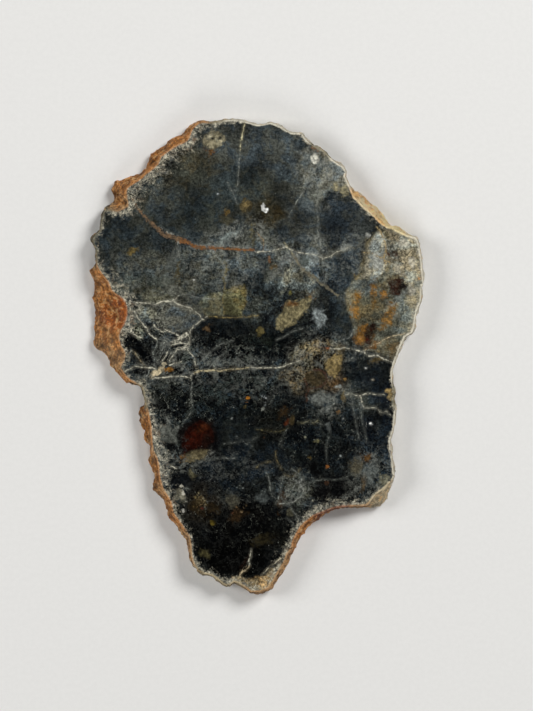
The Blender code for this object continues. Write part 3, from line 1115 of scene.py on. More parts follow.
# %% The veins of the right side
TAN_SEAM = tint(150, 130, 90)
UMBER = tint(58, 36, 23)
RIGHT_VEINS = (
    (0.8, 0.5, SEAM, ((378, 228), (370, 238), (362, 244))),
    (0.3, 0.4, SEAM, ((366, 250), (366, 262), (362, 270), (357, 275), (352, 282))),
    (1.1, 0.9, TAN_SEAM, ((377, 227), (381, 232), (384, 240), (386, 248), (384, 258), (386, 264))),
    (0.5, 0.5, TAN_SEAM, ((363, 252), (372, 254), (382, 258), (392, 264))),
    (0.7, 0.5, UMBER, ((387, 247), (388, 255), (394, 255))),
    (0.4, 0.4, CHALK, ((338, 297), (342, 299), (347, 296))),
    (0.3, 0.3, CHALK, ((345, 293), (349, 290), (353, 287))),
    (0.3, 0.3, CHALK, ((352, 286), (350, 300), (353, 318), (356, 332))),
    (0.4, 0.4, CHALK, ((408, 288), (401, 295), (395, 303), (385, 310))),
    (0.5, 0.4, UMBER, ((313, 345), (317, 347), (325, 347))),
    (0.5, 0.7, IVORY, ((328, 348), (338, 349), (345, 348), (352, 350), (360, 351))),
    (0.7, 0.5, IVORY, ((360, 351), (366, 354), (369, 356), (378, 355), (384, 359), (391, 362))),
    (0.4, 0.4, CHALK, ((332, 343), (338, 341), (344, 340), (350, 337), (353, 331))),
    (0.4, 0.3, CHALK, ((344, 341), (348, 345), (346, 349))),
    (0.4, 0.3, CHALK, ((356, 352), (353, 357), (350, 360))),
    (0.5, 0.5, tint(176, 160, 128), ((365, 350), (372, 346), (378, 343), (384, 340), (392, 337))),
    (0.5, 0.6, tint(176, 160, 128), ((392, 337), (398, 335), (405, 334))),
    (0.4, 0.4, IVORY, ((345, 395), (350, 394), (356, 396), (360, 396), (365, 394), (370, 393))),
    (0.4, 0.4, IVORY, ((370, 393), (376, 395), (385, 395))),
    (0.4, 0.4, IVORY, ((361, 397), (362, 404), (364, 408), (370, 408), (375, 407), (378, 410))),
    (0.4, 0.3, IVORY, ((378, 410), (381, 414), (386, 411), (391, 416))),
    (0.2, 0.2, CHALK, ((352, 396), (353, 408), (356, 424), (359, 438))),
    (0.2, 0.2, CHALK, ((359, 400), (361, 412), (363, 425), (367, 442))),
    (0.6, 0.4, CHALK, ((338, 400), (332, 406), (327, 408), (321, 412))),
    (0.3, 0.3, CHALK, ((276, 340), (285, 336), (294, 331), (303, 328))),
    (1.2, 1.1, UMBER, ((312, 370), (320, 369), (325, 373), (327, 380), (324, 385))),
    (1.1, 0.8, UMBER, ((324, 385), (316, 388), (309, 390), (306, 396), (307, 401))),
    (0.9, 0.7, UMBER, ((304, 379), (307, 385), (306, 392))),
    (0.4, 0.4, tint(120, 104, 80), ((300, 361), (306, 356), (313, 350), (316, 344))),
)
print("veins of the right side:", len(RIGHT_VEINS))

# %% [markdown]
# ## The lower half
# The lower half is the darkest part of the stone, and its veins are thin, greyish and often
# broken off. One thorn of white stands on the cream patch at the foot.

# %% The veins of the lower half
STRAW = tint(106, 94, 62)
SMOKE = tint(104, 107, 100)
LOWER_VEINS = (
    (0.3, 0.3, SMOKE, ((224, 444), (232, 443), (243, 440), (250, 440), (257, 437))),
    (0.3, 0.3, CHALK, ((192, 466), (203, 461), (210, 460), (222, 457), (228, 458), (235, 458))),
    (0.3, 0.3, CHALK, ((203, 461), (207, 456), (214, 452))),
    (0.3, 0.3, SMOKE, ((243, 440), (247, 444), (252, 446))),
    (0.4, 0.4, tint(84, 78, 52), ((256, 429), (268, 431), (280, 431), (288, 428))),
    (0.4, 0.3, SMOKE, ((287, 429), (283, 436), (281, 441), (282, 447))),
    (0.4, 0.4, tint(112, 108, 84), ((298, 423), (303, 423), (309, 421), (314, 424), (318, 420))),
    (0.4, 0.3, STRAW, ((275, 452), (276, 459), (281, 468))),
    (0.4, 0.4, tint(118, 108, 78), ((257, 467), (262, 463), (270, 462))),
    (0.3, 0.3, CHALK, ((266, 471), (270, 483), (270, 490), (273, 497))),
    (0.3, 0.3, SMOKE, ((320, 424), (328, 425), (330, 430), (329, 437), (326, 447), (327, 463))),
    (0.25, 0.25, STRAW, ((284, 474), (291, 477), (297, 473), (300, 469))),
    (0.3, 0.3, SMOKE, ((310, 483), (322, 479), (335, 480), (342, 479), (352, 474))),
    (0.4, 0.4, CHALK, ((293, 479), (297, 484), (293, 488))),
    (0.5, 0.5, tint(150, 152, 142), ((277, 504), (286, 503), (293, 502), (300, 498), (305, 492))),
    (0.4, 0.4, CHALK, ((283, 478), (281, 486), (279, 494), (277, 504))),
    (0.3, 0.3, CHALK, ((297, 484), (304, 488), (309, 483))),
    (0.3, 0.3, CHALK, ((284, 497), (287, 503), (290, 507), (294, 512), (299, 521))),
    (0.4, 0.4, SMOKE, ((300, 476), (306, 482), (309, 489), (304, 496))),
    (0.3, 0.3, SMOKE, ((287, 518), (292, 522), (297, 530))),
    (0.3, 0.3, SMOKE, ((292, 468), (299, 474), (303, 480))),
    (0.3, 0.9, IVORY, ((251, 549), (250, 556), (249, 561), (250, 566))),
    (0.8, 1.0, tint(164, 148, 118), ((250, 566), (246, 570), (241, 573), (240, 577))),
    (0.4, 0.4, UMBER, ((249, 556), (245, 562), (241, 567))),
    (0.4, 0.8, tint(176, 168, 144), ((262, 575), (268, 568), (274, 564), (281, 559))),
    (0.6, 0.6, tint(140, 74, 44), ((303, 523), (312, 518), (322, 514), (345, 505))),
    (0.3, 0.3, SMOKE, ((183, 490), (186, 488), (189, 489))),
    (0.5, 0.4, IVORY, ((151, 432), (156, 444), (158, 456), (166, 464), (176, 468))),
)
print("veins of the lower half:", len(LOWER_VEINS))

# %% [markdown]
# ## Single grains
# A few grains of one or two squares are bright enough to be seen from afar. They are too small
# for the points to hold, but a vein with no length is a round dot, so they go through the same
# list as the veins.

# %% The single grains
GRAINS = (
    # x, y, radius, colour
    (194, 280, 1.1, tint(214, 214, 206)),
    (366, 368, 1.2, tint(224, 224, 216)),
    (373, 380, 1.2, tint(170, 162, 142)),
    (371, 424, 1.5, tint(226, 226, 220)),
    (218, 194, 0.8, tint(150, 156, 156)),
    (262, 395, 1.1, tint(120, 126, 126)),
    (266, 398, 1.1, tint(172, 176, 174)),
    (341, 456, 1.1, tint(150, 156, 152)),
    (305, 437, 1.0, tint(120, 120, 100)),
    (343, 419, 0.9, tint(130, 132, 126)),
    (265, 405, 0.9, tint(118, 122, 120)),
    (312, 501, 0.9, tint(150, 148, 132)),
    (237, 436, 0.9, tint(112, 116, 112)),
    (243, 488, 0.9, tint(112, 116, 112)),
    (248, 398, 2.0, tint(176, 112, 24)),
    (245, 407, 2.0, tint(66, 56, 28)),
    (327, 467, 2.2, tint(112, 68, 26)),
    (264, 438, 1.6, tint(54, 36, 20)),
    (232, 418, 1.8, tint(98, 102, 98)),
    (313, 147, 2.2, tint(112, 84, 60)),
    (318, 151, 1.8, tint(100, 74, 54)),
    (338, 412, 2.4, tint(98, 72, 38)),
    (310, 457, 2.4, tint(64, 52, 20)),
    (327, 483, 2.4, tint(60, 38, 20)),
    (345, 380, 2.2, tint(112, 86, 44)),
    (315.5, 177, 1.2, tint(16, 18, 18)),
    (324, 207, 1.0, tint(14, 17, 18)),
    (227, 280, 1.2, CHALK),
    (222, 262, 1.2, CHALK),
    (245.5, 244, 1.2, tint(12, 14, 15)),
    (162, 323.5, 1.2, tint(14, 16, 16)),
    (195, 329.5, 1.2, tint(12, 14, 14)),
    (328, 348, 1.6, tint(132, 82, 52)),
    (396, 256, 1.2, tint(98, 60, 34)),
    (419, 279, 1.8, tint(172, 128, 82)),
    (181.5, 486.5, 2.0, tint(164, 160, 144)),
    (183, 493.5, 2.2, tint(184, 180, 164)),
    (183.5, 510.5, 2.2, tint(160, 158, 148)),
    (186, 501, 1.2, tint(150, 148, 134)),
    (195, 497, 1.4, tint(98, 84, 50)),
    (199, 493, 1.2, tint(112, 104, 78)),
    (203, 498, 1.3, tint(118, 110, 84)),
    (199, 503, 1.3, tint(96, 84, 54)),
    (206, 504, 1.1, tint(112, 100, 70)),
    (202, 508.5, 1.6, tint(66, 26, 14)),
    (194, 507, 1.2, tint(92, 76, 44)),
    (236, 507, 1.5, tint(92, 72, 44)),
    (241, 511, 1.3, tint(108, 90, 64)),
    (232, 513, 1.5, tint(74, 44, 24)),
    (246, 505, 1.2, tint(84, 72, 48)),
    (299.5, 482, 1.7, tint(140, 142, 134)),
    (293, 489.5, 1.4, tint(128, 130, 120)),
    (303, 488.5, 1.4, tint(136, 138, 130)),
    (288, 495, 1.2, tint(120, 120, 108)),
)
print("single grains:", len(GRAINS))

# %% [markdown]
# ## All lines together
# The four groups and the grains become one list of straight pieces, and every point looks up the
# nearest of them.

# %% Store the veins
VEINS = NET_VEINS + UPPER_VEINS + RIGHT_VEINS + LOWER_VEINS


def vein_lines():
    """All straight pieces: their starts, ends, first and last half-widths, and colours."""
    starts, ends, first, last, shades = [], [], [], [], []
    for wide, narrow, shade, places in VEINS:
        route = on_stone(places)
        halves = np.linspace(wide, narrow, len(route)) * SQUARE
        starts += list(route[:-1])
        ends += list(route[1:])
        first += list(halves[:-1])
        last += list(halves[1:])
        shades += [shade] * (len(route) - 1)
    for x, y, radius, shade in GRAINS:
        spot = on_stone([(x, y)])[0]
        starts.append(spot)
        ends.append(spot)
        first.append(radius * SQUARE)
        last.append(radius * SQUARE)
        shades.append(shade)
    return starts, ends, first, last, np.array(shades)


*lines, vein_shades = vein_lines()
vein_gap, vein_foot, vein_half, vein_number = nearest(corners[:, :2], *lines)
keep_number("vein_gap", vein_gap * 1000)
keep_vector("vein_foot", np.column_stack([vein_foot, vein_half]) * 1000)
keep_colour("vein_colour", vein_shades[vein_number])
print("veins:", len(VEINS), "straight pieces:", len(vein_shades))

# %% [markdown]
# ## The rim's dress
# Under the rind a pale crust of carbonate eats into the face, wide and speckled in some places
# and a thin line in others. A few stations round the rim say how wide it is and what colour the
# rind has there. Every point takes a mean of the stations, weighted so that near ones count
# most, which is a simple way to spread a few values smoothly over a whole surface.

# %% Dress the rim
RIND = tint(186, 120, 52)
DEEP_RIND = tint(164, 84, 8)
PALE_RIND = tint(176, 132, 84)
LEDGE_TAN = tint(255, 234, 176)
LEDGE_ORANGE = tint(240, 176, 92)
LEDGE_CREAM = tint(255, 240, 196)
# Painted highlight: the lip along the top and the right is given a near-white for its lit edge.
LIP_HIGHLIGHT_WHITE = tint(226, 219, 198)
DULL_CREAM = tint(128, 120, 94)
FOOT_CREAM = tint(176, 158, 122)
# Partly the chip's own cream and partly painted highlight: it is made brighter for the glints on the
# chipped corner.
CHIP_CREAM_HIGHLIGHT = tint(206, 188, 152)
BUMP_CREAM = tint(96, 91, 72)
STATIONS = (
    # x, y, crust width in squares, rind colour
    (190, 127, 14, RIND),
    (170, 145, 14, RIND),
    (155, 160, 16, RIND),
    (138, 179, 20, RIND),
    (122, 188, 18, RIND),
    (120, 204, 12, PALE_RIND),
    (104, 210, 5, BUMP_CREAM),
    (99, 225, 4, BUMP_CREAM),
    (92, 242, 4, BUMP_CREAM),
    (95, 258, 5, BUMP_CREAM),
    (100, 272, 9, RIND),
    (112, 289, 13, RIND),
    (124, 303, 16, DEEP_RIND),
    (118, 312, 15, DEEP_RIND),
    (124, 322, 13, DEEP_RIND),
    (117, 338, 9, RIND),
    (104, 346, 6, PALE_RIND),
    (96, 335, 6, RIND),
    (95, 305, 6, RIND),
    (118, 362, 6, PALE_RIND),
    (128, 381, 7, RIND),
    (141, 388, 8, DULL_CREAM),
    (144, 400, 8, DULL_CREAM),
    (145, 420, 9, RIND),
    (148, 440, 13, RIND),
    (151, 451, 15, PALE_RIND),
    (152, 465, 15, RIND),
    (157, 480, 15, RIND),
    (158, 490, 9, PALE_RIND),
    (168, 504, 8, RIND),
    (177, 524, 5, RIND),
    (187, 540, 5, PALE_RIND),
    (191, 558, 6, PALE_RIND),
    (200, 573, 6, FOOT_CREAM),
    (218, 582, 6, FOOT_CREAM),
    (236, 584, 8, FOOT_CREAM),
    (250, 592, 7, PALE_RIND),
    (264, 592, 8, PALE_RIND),
    (278, 578, 9, PALE_RIND),
    (289, 558, 8, PALE_RIND),
    (298, 540, 8, RIND),
    (308, 524, 8, RIND),
    (322, 515, 12, tint(132, 72, 40)),
    (340, 509, 9, tint(132, 72, 40)),
    (362, 506, 9, PALE_RIND),
    (378, 500, 4, CHIP_CREAM_HIGHLIGHT),
    (390, 487, 3, CHIP_CREAM_HIGHLIGHT),
    (394, 470, 2, LIP_HIGHLIGHT_WHITE),
    (391, 445, 3, LIP_HIGHLIGHT_WHITE),
    (395, 420, 2, LIP_HIGHLIGHT_WHITE),
    (395, 398, 4, DULL_CREAM),
    (394, 372, 2, LIP_HIGHLIGHT_WHITE),
    (404, 342, 3, LIP_HIGHLIGHT_WHITE),
    (414, 328, 5, LIP_HIGHLIGHT_WHITE),
    (422, 298, 5, LIP_HIGHLIGHT_WHITE),
    (423, 268, 4, LIP_HIGHLIGHT_WHITE),
    (417, 239, 5, LIP_HIGHLIGHT_WHITE),
    (402, 229, 5, LEDGE_TAN),
    (392, 222, 5, LEDGE_TAN),
    (377, 223, 5, LEDGE_ORANGE),
    (368, 213, 4, LEDGE_CREAM),
    (359, 203, 4, LEDGE_CREAM),
    (382, 212, 5, LEDGE_TAN),
    (371, 201, 4, LEDGE_ORANGE),
    (360, 192, 3, LEDGE_ORANGE),
    (348, 180, 4, LIP_HIGHLIGHT_WHITE),
    (340, 164, 2, LIP_HIGHLIGHT_WHITE),
    (320, 147, 3, DULL_CREAM),
    (304, 135, 4, LIP_HIGHLIGHT_WHITE),
    (286, 129, 2, LIP_HIGHLIGHT_WHITE),
    (268, 123, 2, LIP_HIGHLIGHT_WHITE),
    (250, 122, 2, LIP_HIGHLIGHT_WHITE),
    (233, 119, 5, LIP_HIGHLIGHT_WHITE),
    (214, 121, 7, DULL_CREAM),
    (200, 121, 12, RIND),
)
STATION_REACH = 7.0
WALL_STRAY = 20.0


def spread(places, values):
    """Values of the stations spread over all places, near stations counting most."""
    total = np.zeros((len(places), values.shape[1]))
    weights = np.zeros((len(places), 1))
    for (x, y, *_), value in zip(STATIONS, values):
        away = np.hypot(places[:, 0] - x, places[:, 1] - y)
        weight = 1 / (1 + (away / STATION_REACH) ** 4)
        total += weight[:, None] * value
        weights += weight[:, None]
    return total / weights


def dress_places():
    """The places on the drawing, moved more the deeper a point of the wall lies, so that no border
    between two colours runs straight down the wall."""
    places = spots.copy()
    for index in range(wall_points):
        point = Vector(corners[index]) * 1000
        push = noise.turbulence_vector(point * 0.45, 3, False)
        deep = min(1.0, 1000 * highest.z - point.z)
        places[index] += np.array(push.xy) * WALL_STRAY * deep
    return places


values = np.array([(wide, *shade) for _, _, wide, shade in STATIONS])
wall_points = len(corners) - len(face_points) - len(back_points)
dress = spread(dress_places(), values)
keep_number("crust_width", dress[:, 0] * SQUARE * 1000)
keep_colour("rind_colour", dress[:, 1:])
layer = np.zeros(len(corners))
layer[:wall_points] = layers_of(corners[:wall_points])
keep_number("layer", layer * 1000)
print("stations:", len(STATIONS))

# %% [markdown]
# ## How deep in from the rim
# The pale crust is drawn by its depth from the cut edge. The fills measured that depth for their
# own points on the way, and all points of the wall lie at no depth.

# %% Store the depth
rim_gap = np.concatenate([np.zeros(wall_points), face_gaps, back_gaps])
keep_number("rim_gap", rim_gap * 1000)
print("the deepest point is", round(1000 * float(rim_gap.max()), 1), "mm from the rim")

# %% [markdown]
# ## A bench for building materials
# A material is a graph of nodes. Adding and linking them one by one takes many lines, so a small
# bench holds the graph and gives each kind of node one short call. A value that is a socket is
# linked, and any other value is set on the input itself.

# %% The bench


class Bench:
    """A material and short calls that add nodes to it."""

    def __init__(self, name):
        self.material = bpy.data.materials.new(name)
        self.material.use_nodes = True
        self.nodes = self.material.node_tree.nodes
        self.links = self.material.node_tree.links
        self.shader = self.nodes["Principled BSDF"]

    def feed(self, socket, value):
        if isinstance(value, bpy.types.NodeSocket):
            self.links.new(value, socket)
        elif socket.type == "RGBA":
            socket.default_value = (*value, 1)
        else:
            socket.default_value = value

    def add(self, kind, inputs=(), **settings):
        node = self.nodes.new("ShaderNode" + kind)
        for setting, value in settings.items():
            setattr(node, setting, value)
        for name, value in dict(inputs).items():
            self.feed(node.inputs[name], value)
        return node

    def place(self, scale=1000):
        """Where a point is on the object, in millimetres."""
        spot = self.add("TexCoord").outputs["Object"]
        return self.vector("SCALE", spot, scale=scale)

    def number(self, name):
        return self.add("Attribute", attribute_name=name).outputs["Fac"]

    def triple(self, name):
        return self.add("Attribute", attribute_name=name).outputs["Vector"]

    def colour(self, name):
        return self.add("Attribute", attribute_name=name).outputs["Color"]

    def maths(self, operation, first, second=0.0):
        node = self.add("Math", operation=operation)
        self.feed(node.inputs[0], first)
        self.feed(node.inputs[1], second)
        return node.outputs[0]

    def vector(self, operation, first, second=None, scale=None):
        node = self.add("VectorMath", operation=operation)
        self.feed(node.inputs[0], first)
        if second is not None:
            self.feed(node.inputs[1], second)
        if scale is not None:
            self.feed(node.inputs["Scale"], scale)
        return node.outputs["Value" if operation in ("LENGTH", "DISTANCE") else "Vector"]

    def step(self, value, low, high, first=0.0, last=1.0):
        """A smooth change from first to last while value goes from low to high."""
        node = self.add("MapRange", interpolation_type="SMOOTHSTEP")
        for name, number in zip(
            ("Value", "From Min", "From Max", "To Min", "To Max"), (value, low, high, first, last)
        ):
            self.feed(node.inputs[name], number)
        return node.outputs[0]

    def grain(self, place, scale, detail=4, roughness=0.6, stretch=None):
        """Noise from about 0.2 to 0.8 with features 1/scale wide."""
        if stretch:
            place = self.vector("MULTIPLY", place, stretch)
        inputs = {"Vector": place, "Scale": scale, "Detail": detail, "Roughness": roughness}
        return self.add("TexNoise", inputs).outputs["Fac"]

    def push(self, place, scale, reach):
        """The place moved by up to about half the reach, to make edges wander."""
        inputs = {"Vector": place, "Scale": scale, "Detail": 3.0, "Roughness": 0.6}
        moved = self.add("TexNoise", inputs).outputs["Color"]
        centred = self.vector("SUBTRACT", moved, (0.5, 0.5, 0.5))
        return self.vector("ADD", place, self.vector("SCALE", centred, scale=reach))

    def cells(self, place, scale, feature="F1"):
        inputs = {"Vector": place, "Scale": scale}
        return self.add("TexVoronoi", inputs, feature=feature)

    def mix(self, share, first, second, blend="MIX"):
        node = self.add("Mix", data_type="RGBA", blend_type=blend)
        self.feed(node.inputs["Factor"], share)
        self.feed(node.inputs["A"], first)
        self.feed(node.inputs["B"], second)
        return node.outputs["Result"]

    def relief(self, height, depth, strength=1.0):
        """A bump of that depth in metres, from a height that goes from 0 to 1."""
        inputs = {"Strength": strength, "Distance": depth, "Height": height}
        bump = self.add("Bump", inputs)
        self.links.new(bump.outputs["Normal"], self.shader.inputs["Normal"])

    def finish(self, colour, roughness, specular):
        self.feed(self.shader.inputs["Base Color"], colour)
        self.feed(self.shader.inputs["Roughness"], roughness)
        self.shader.inputs["Specular IOR Level"].default_value = specular
        print("finish:", self.material.name, "nodes:", len(self.nodes))
        return self.material


# %% [markdown]
# ## The ground of the polished face
# Close up, a breccia is rubble at every size in a fine dark paste that looks like smoke. Fractal
# noise has features of every size too, so the paste is two of those multiplied, a slow one and a
# fine one. Over it lie fragments: a cell pattern of which only some cells are filled, each with
# its own tone from the cell's random colour.

# %% Mottle the paste
WARMER = (1.12, 1.02, 0.84)
COOLER = (0.90, 0.99, 1.06)


def paste(bench, place, ground):
    """The ground's colour, varied in tone by a slow and a fine noise and in hue by a third."""
    drawn = bench.push(place, 0.25, 3.0)
    slow = bench.step(bench.grain(drawn, 0.16, 8, 0.66), 0.34, 0.66, 0.45, 1.55)
    fine = bench.step(bench.grain(place, 1.2, 4, 0.85), 0.37, 0.63, 0.52, 1.50)
    warmth = bench.step(bench.grain(drawn, 0.30, 4, 0.6), 0.42, 0.58)
    warm = bench.vector("MULTIPLY", ground, WARMER)
    cool = bench.vector("MULTIPLY", ground, COOLER)
    hue = bench.mix(warmth, cool, warm)
    return bench.vector("SCALE", hue, scale=bench.maths("MULTIPLY", slow, fine))


def fragments(bench, place, under, size, filled, darkest, palest, cover):
    """Rubble of one size. Filled is the share of the cells that hold a fragment, and its tone
    lies between the darkest and the palest, as shares of what is under it."""
    moved = bench.push(place, 1.3 / size, 0.9 * size)
    cell = bench.cells(moved, 1 / size)
    random = bench.add("SeparateColor", {"Color": cell.outputs["Color"]}).outputs
    chosen = bench.step(random["Red"], 1 - filled, 1 - filled + 0.02)
    smaller = bench.step(random["Blue"], 0.0, 1.0, 0.0, 0.15)
    reach = bench.maths("SUBTRACT", cell.outputs["Distance"], smaller)
    core = bench.step(reach, 0.24, 0.34, 1.0, 0.0)
    tone = bench.step(random["Green"], 0.0, 1.0, darkest, palest)
    colour = bench.vector("SCALE", under, scale=tone)
    share = bench.maths("MULTIPLY", bench.maths("MULTIPLY", chosen, core), cover)
    return bench.mix(share, under, colour)


# %% [markdown]
# ## Rubble and grit
# In the middle and the lower half the stone is black lumps in a grey matrix. A fractal noise cut
# off at one height gives lumps of all sizes with ragged outlines, and a narrow band of the same
# noise just above that height is a thin line round them. A cell pattern was tried first and
# looked like felt. Small sharp grit lies all through, as strong as the place is rubbly.

# %% Draw rubble and grit
LINE_GREY = tint(118, 120, 109)
LUMP_BLACK = tint(2, 3, 4)
LUMP_EDGE = 0.495


def rubble(bench, place, under):
    share = bench.number("rubble")
    lump = bench.grain(bench.push(place, 0.5, 1.6), 0.34, 7, 0.62)
    matrix = bench.step(lump, LUMP_EDGE, LUMP_EDGE + 0.10, 0.0, 0.9)
    lighter = bench.maths("ADD", bench.maths("MULTIPLY", matrix, share), 1.0)
    colour = bench.vector("SCALE", under, scale=lighter)
    black = bench.step(lump, LUMP_EDGE - 0.03, LUMP_EDGE, 0.95, 0.0)
    colour = bench.mix(bench.maths("MULTIPLY", black, share), colour, LUMP_BLACK)
    from_edge = bench.maths("ABSOLUTE", bench.maths("SUBTRACT", lump, LUMP_EDGE + 0.012))
    line = bench.step(from_edge, 0.0, 0.012, 0.80, 0.0)
    kept = bench.step(bench.grain(place, 0.7, 4, 0.7), 0.48, 0.58)
    line = bench.maths("MULTIPLY", bench.maths("MULTIPLY", line, kept), share)
    return bench.mix(line, colour, LINE_GREY)


def grit(bench, place, under):
    drawn = bench.push(place, 1.4, 0.5)
    tone = bench.step(bench.grain(drawn, 1.6, 3, 0.90), 0.43, 0.57, -0.98, 1.45)
    tone = bench.maths("MULTIPLY", tone, bench.maths("ADD", bench.number("rubble"), 0.12))
    return bench.vector("SCALE", under, scale=bench.maths("ADD", tone, 1.0))


# %% [markdown]
# ## Clouds and flecks
# Pale powder of crushed feldspar drifts through the stone like cloud, in puffs and in threads,
# and single bright grains lie everywhere. How much cloud a place has is painted on the points.

# %% Draw clouds and flecks
CLOUD_GREY = tint(142, 144, 135)
FLECK = tint(160, 163, 154)


def clouds(bench, place, under):
    share = bench.number("cloud")
    drawn = bench.push(place, 0.35, 2.6)
    puff = bench.step(bench.grain(drawn, 0.42, 7, 0.70), 0.47, 0.62)
    ridge = bench.maths("ABSOLUTE", bench.maths("SUBTRACT", bench.grain(drawn, 0.45, 5), 0.5))
    thread = bench.step(ridge, 0.0, 0.018, 1.0, 0.0)
    powder = bench.maths("MAXIMUM", puff, thread)
    grain = bench.step(bench.grain(place, 1.2, 4, 0.75), 0.38, 0.60, 0.10, 1.0)
    cover = bench.maths("MULTIPLY", bench.maths("MULTIPLY", powder, share), grain)
    return bench.mix(cover, under, CLOUD_GREY)


def flecks(bench, place, under):
    """Bright grains, one in a few cells of the pattern."""
    cell = bench.cells(place, 1.25)
    random = bench.add("SeparateColor", {"Color": cell.outputs["Color"]}).outputs
    chosen = bench.step(random["Red"], 0.82, 0.84)
    spot = bench.step(cell.outputs["Distance"], 0.08, 0.20, 1.0, 0.0)
    bright = bench.step(random["Green"], 0.3, 1.0, 0.03, 0.42)
    cover = bench.maths("MULTIPLY", bench.maths("MULTIPLY", chosen, spot), bright)
    return bench.mix(cover, under, FLECK)


# %% [markdown]
# ## Hairlines
# Between the named veins the whole face is crossed by cracks thinner than a hair. The borders of
# a cell pattern are such a net. A slow noise keeps only parts of it, so that the cells can't be
# seen, and it is strongest where the stone is cloudy.

# %% Cross the ground with hairlines


def hairlines(bench, place, under, size, width, strength):
    moved = bench.push(place, 0.5, 2.4)
    net = bench.cells(moved, 1 / size, "DISTANCE_TO_EDGE").outputs["Distance"]
    line = bench.step(net, 0.3 * width / size, width / size, 1.0, 0.0)
    kept = bench.step(bench.grain(place, 0.2, 4), 0.50, 0.62)
    share = bench.maths("ADD", bench.number("cloud"), 0.07)
    cover = bench.maths("MULTIPLY", bench.maths("MULTIPLY", line, kept), share)
    return bench.mix(bench.maths("MULTIPLY", cover, strength), under, CLOUD_GREY)


# %% [markdown]
# ## The named clasts
# A clast's colour is laid where the stored distance is below zero. A noise is added to that
# distance first, so that the edge wanders by a few tenths of a millimetre. Three more wear the
# inside away in places, mottle it and break it into crystals, because no clast has one tone.

# %% Lay the clasts


def clasts(bench, place, under):
    drawn = bench.push(place, 0.8, 1.2)
    off_middle = bench.maths("SUBTRACT", bench.grain(drawn, 0.8, 6, 0.7), 0.5)
    edge = bench.maths("ADD", bench.number("clast_gap"), bench.maths("MULTIPLY", off_middle, 8.0))
    inner = bench.step(edge, -1.4, 0.9, 1.0, 0.0)
    worn = bench.step(bench.grain(place, 0.9, 6, 0.82), 0.38, 0.54, 0.55, 1.0)
    cover = bench.maths("MULTIPLY", inner, worn)
    mottle = bench.step(bench.grain(drawn, 0.7, 7, 0.80), 0.40, 0.60, 0.55, 1.40)
    crystals = bench.step(bench.grain(place, 1.25, 4, 0.85), 0.42, 0.60, 0.62, 1.45)
    tone = bench.maths("MULTIPLY", mottle, crystals)
    colour = bench.vector("SCALE", bench.colour("clast_colour"), scale=tone)
    return bench.mix(cover, under, colour)


# %% [markdown]
# ## The veins
# The shader measures from where it is to the nearest place on a vein, in the flat of the face.
# Its own place is moved a little first, so that a vein trembles. Its width swells and pinches
# with a noise, and where the noise is low the vein nearly breaks off. A second, thinner line that
# is moved further makes the small threads that run beside a vein, and a faint dusting lies around
# both.

# %% Draw the veins
ACROSS_MIDWAY = 0.9
EDGE_IN, EDGE_OUT = -0.05, 0.055


def vein_line(bench, place, reach, share):
    """Where one line of the vein shows, from 0 to 1, and how far away its middle is."""
    foot = bench.triple("vein_foot")
    flat = bench.vector("MULTIPLY", foot, (1, 1, 0))
    half = bench.add("SeparateXYZ", {"Vector": foot}).outputs["Z"]
    moved = bench.push(bench.push(place, 0.40, reach), 1.6, 0.42)
    away = bench.vector("DISTANCE", bench.vector("MULTIPLY", moved, (1, 1, 0)), flat)
    swell = bench.step(bench.grain(place, 1.3, 5, 0.8), 0.37, 0.62, 0.22 * share, 1.22 * share)
    from_side = bench.maths("SUBTRACT", away, bench.maths("MULTIPLY", half, swell))
    return bench.step(from_side, EDGE_IN, EDGE_OUT, 1.0, 0.0), away


def veins(bench, place, under):
    main, away = vein_line(bench, place, 0.9, 1.0)
    side, _ = vein_line(bench, place, 3.0, 0.35)
    dust = bench.step(away, 0.1, 0.7, 0.15, 0.0)
    threads = bench.maths("MAXIMUM", main, bench.maths("MULTIPLY", side, 0.45))
    near = bench.step(bench.number("vein_gap"), ACROSS_MIDWAY / 2, ACROSS_MIDWAY, 1.0, 0.0)
    beads = bench.step(bench.grain(place, 1.15, 4, 0.8), 0.38, 0.52, 0.30, 1.0)
    shown = bench.maths("MULTIPLY", near, beads)
    cover = bench.maths("MULTIPLY", bench.maths("MAXIMUM", threads, dust), shown)
    shade = bench.step(bench.grain(place, 1.0, 5, 0.75), 0.39, 0.61, 0.62, 1.30)
    colour = bench.vector("SCALE", bench.colour("vein_colour"), scale=shade)
    return bench.mix(cover, under, colour), cover


# %% [markdown]
# ## The crust along the rim
# The pale carbonate is nearly solid at the rim and breaks up inwards into lumps and threads that
# follow the cracks between grains. So its cover is a noise compared with the depth: at the rim
# most of the noise is above the line, and at the crust's full width only its peaks are. Grains
# of dark stone are caught in it, and at the very edge it takes on the tone of the rind outside.

# %% Lay the crust
CRUST_PALE = tint(158, 152, 132)
CRUST_WHITE = tint(214, 207, 184)
CRUST_GREY = tint(70, 73, 71)
CRUST_TAN = tint(106, 84, 62)


def crust_colour(bench, drawn, place, depth):
    tone = bench.step(bench.grain(drawn, 0.9, 5, 0.84), 0.42, 0.58)
    colour = bench.mix(tone, CRUST_GREY, CRUST_PALE)
    stain = bench.step(bench.grain(place, 0.4, 4), 0.52, 0.66, 0.0, 0.7)
    colour = bench.mix(stain, colour, CRUST_TAN)
    inwards = bench.step(depth, 0.0, 1.0, -0.035, 0.03)
    crystals = bench.maths("SUBTRACT", bench.grain(drawn, 1.1, 5, 0.80), inwards)
    peak = bench.step(crystals, 0.52, 0.61, 0.0, 0.85)
    return bench.mix(peak, colour, CRUST_WHITE)


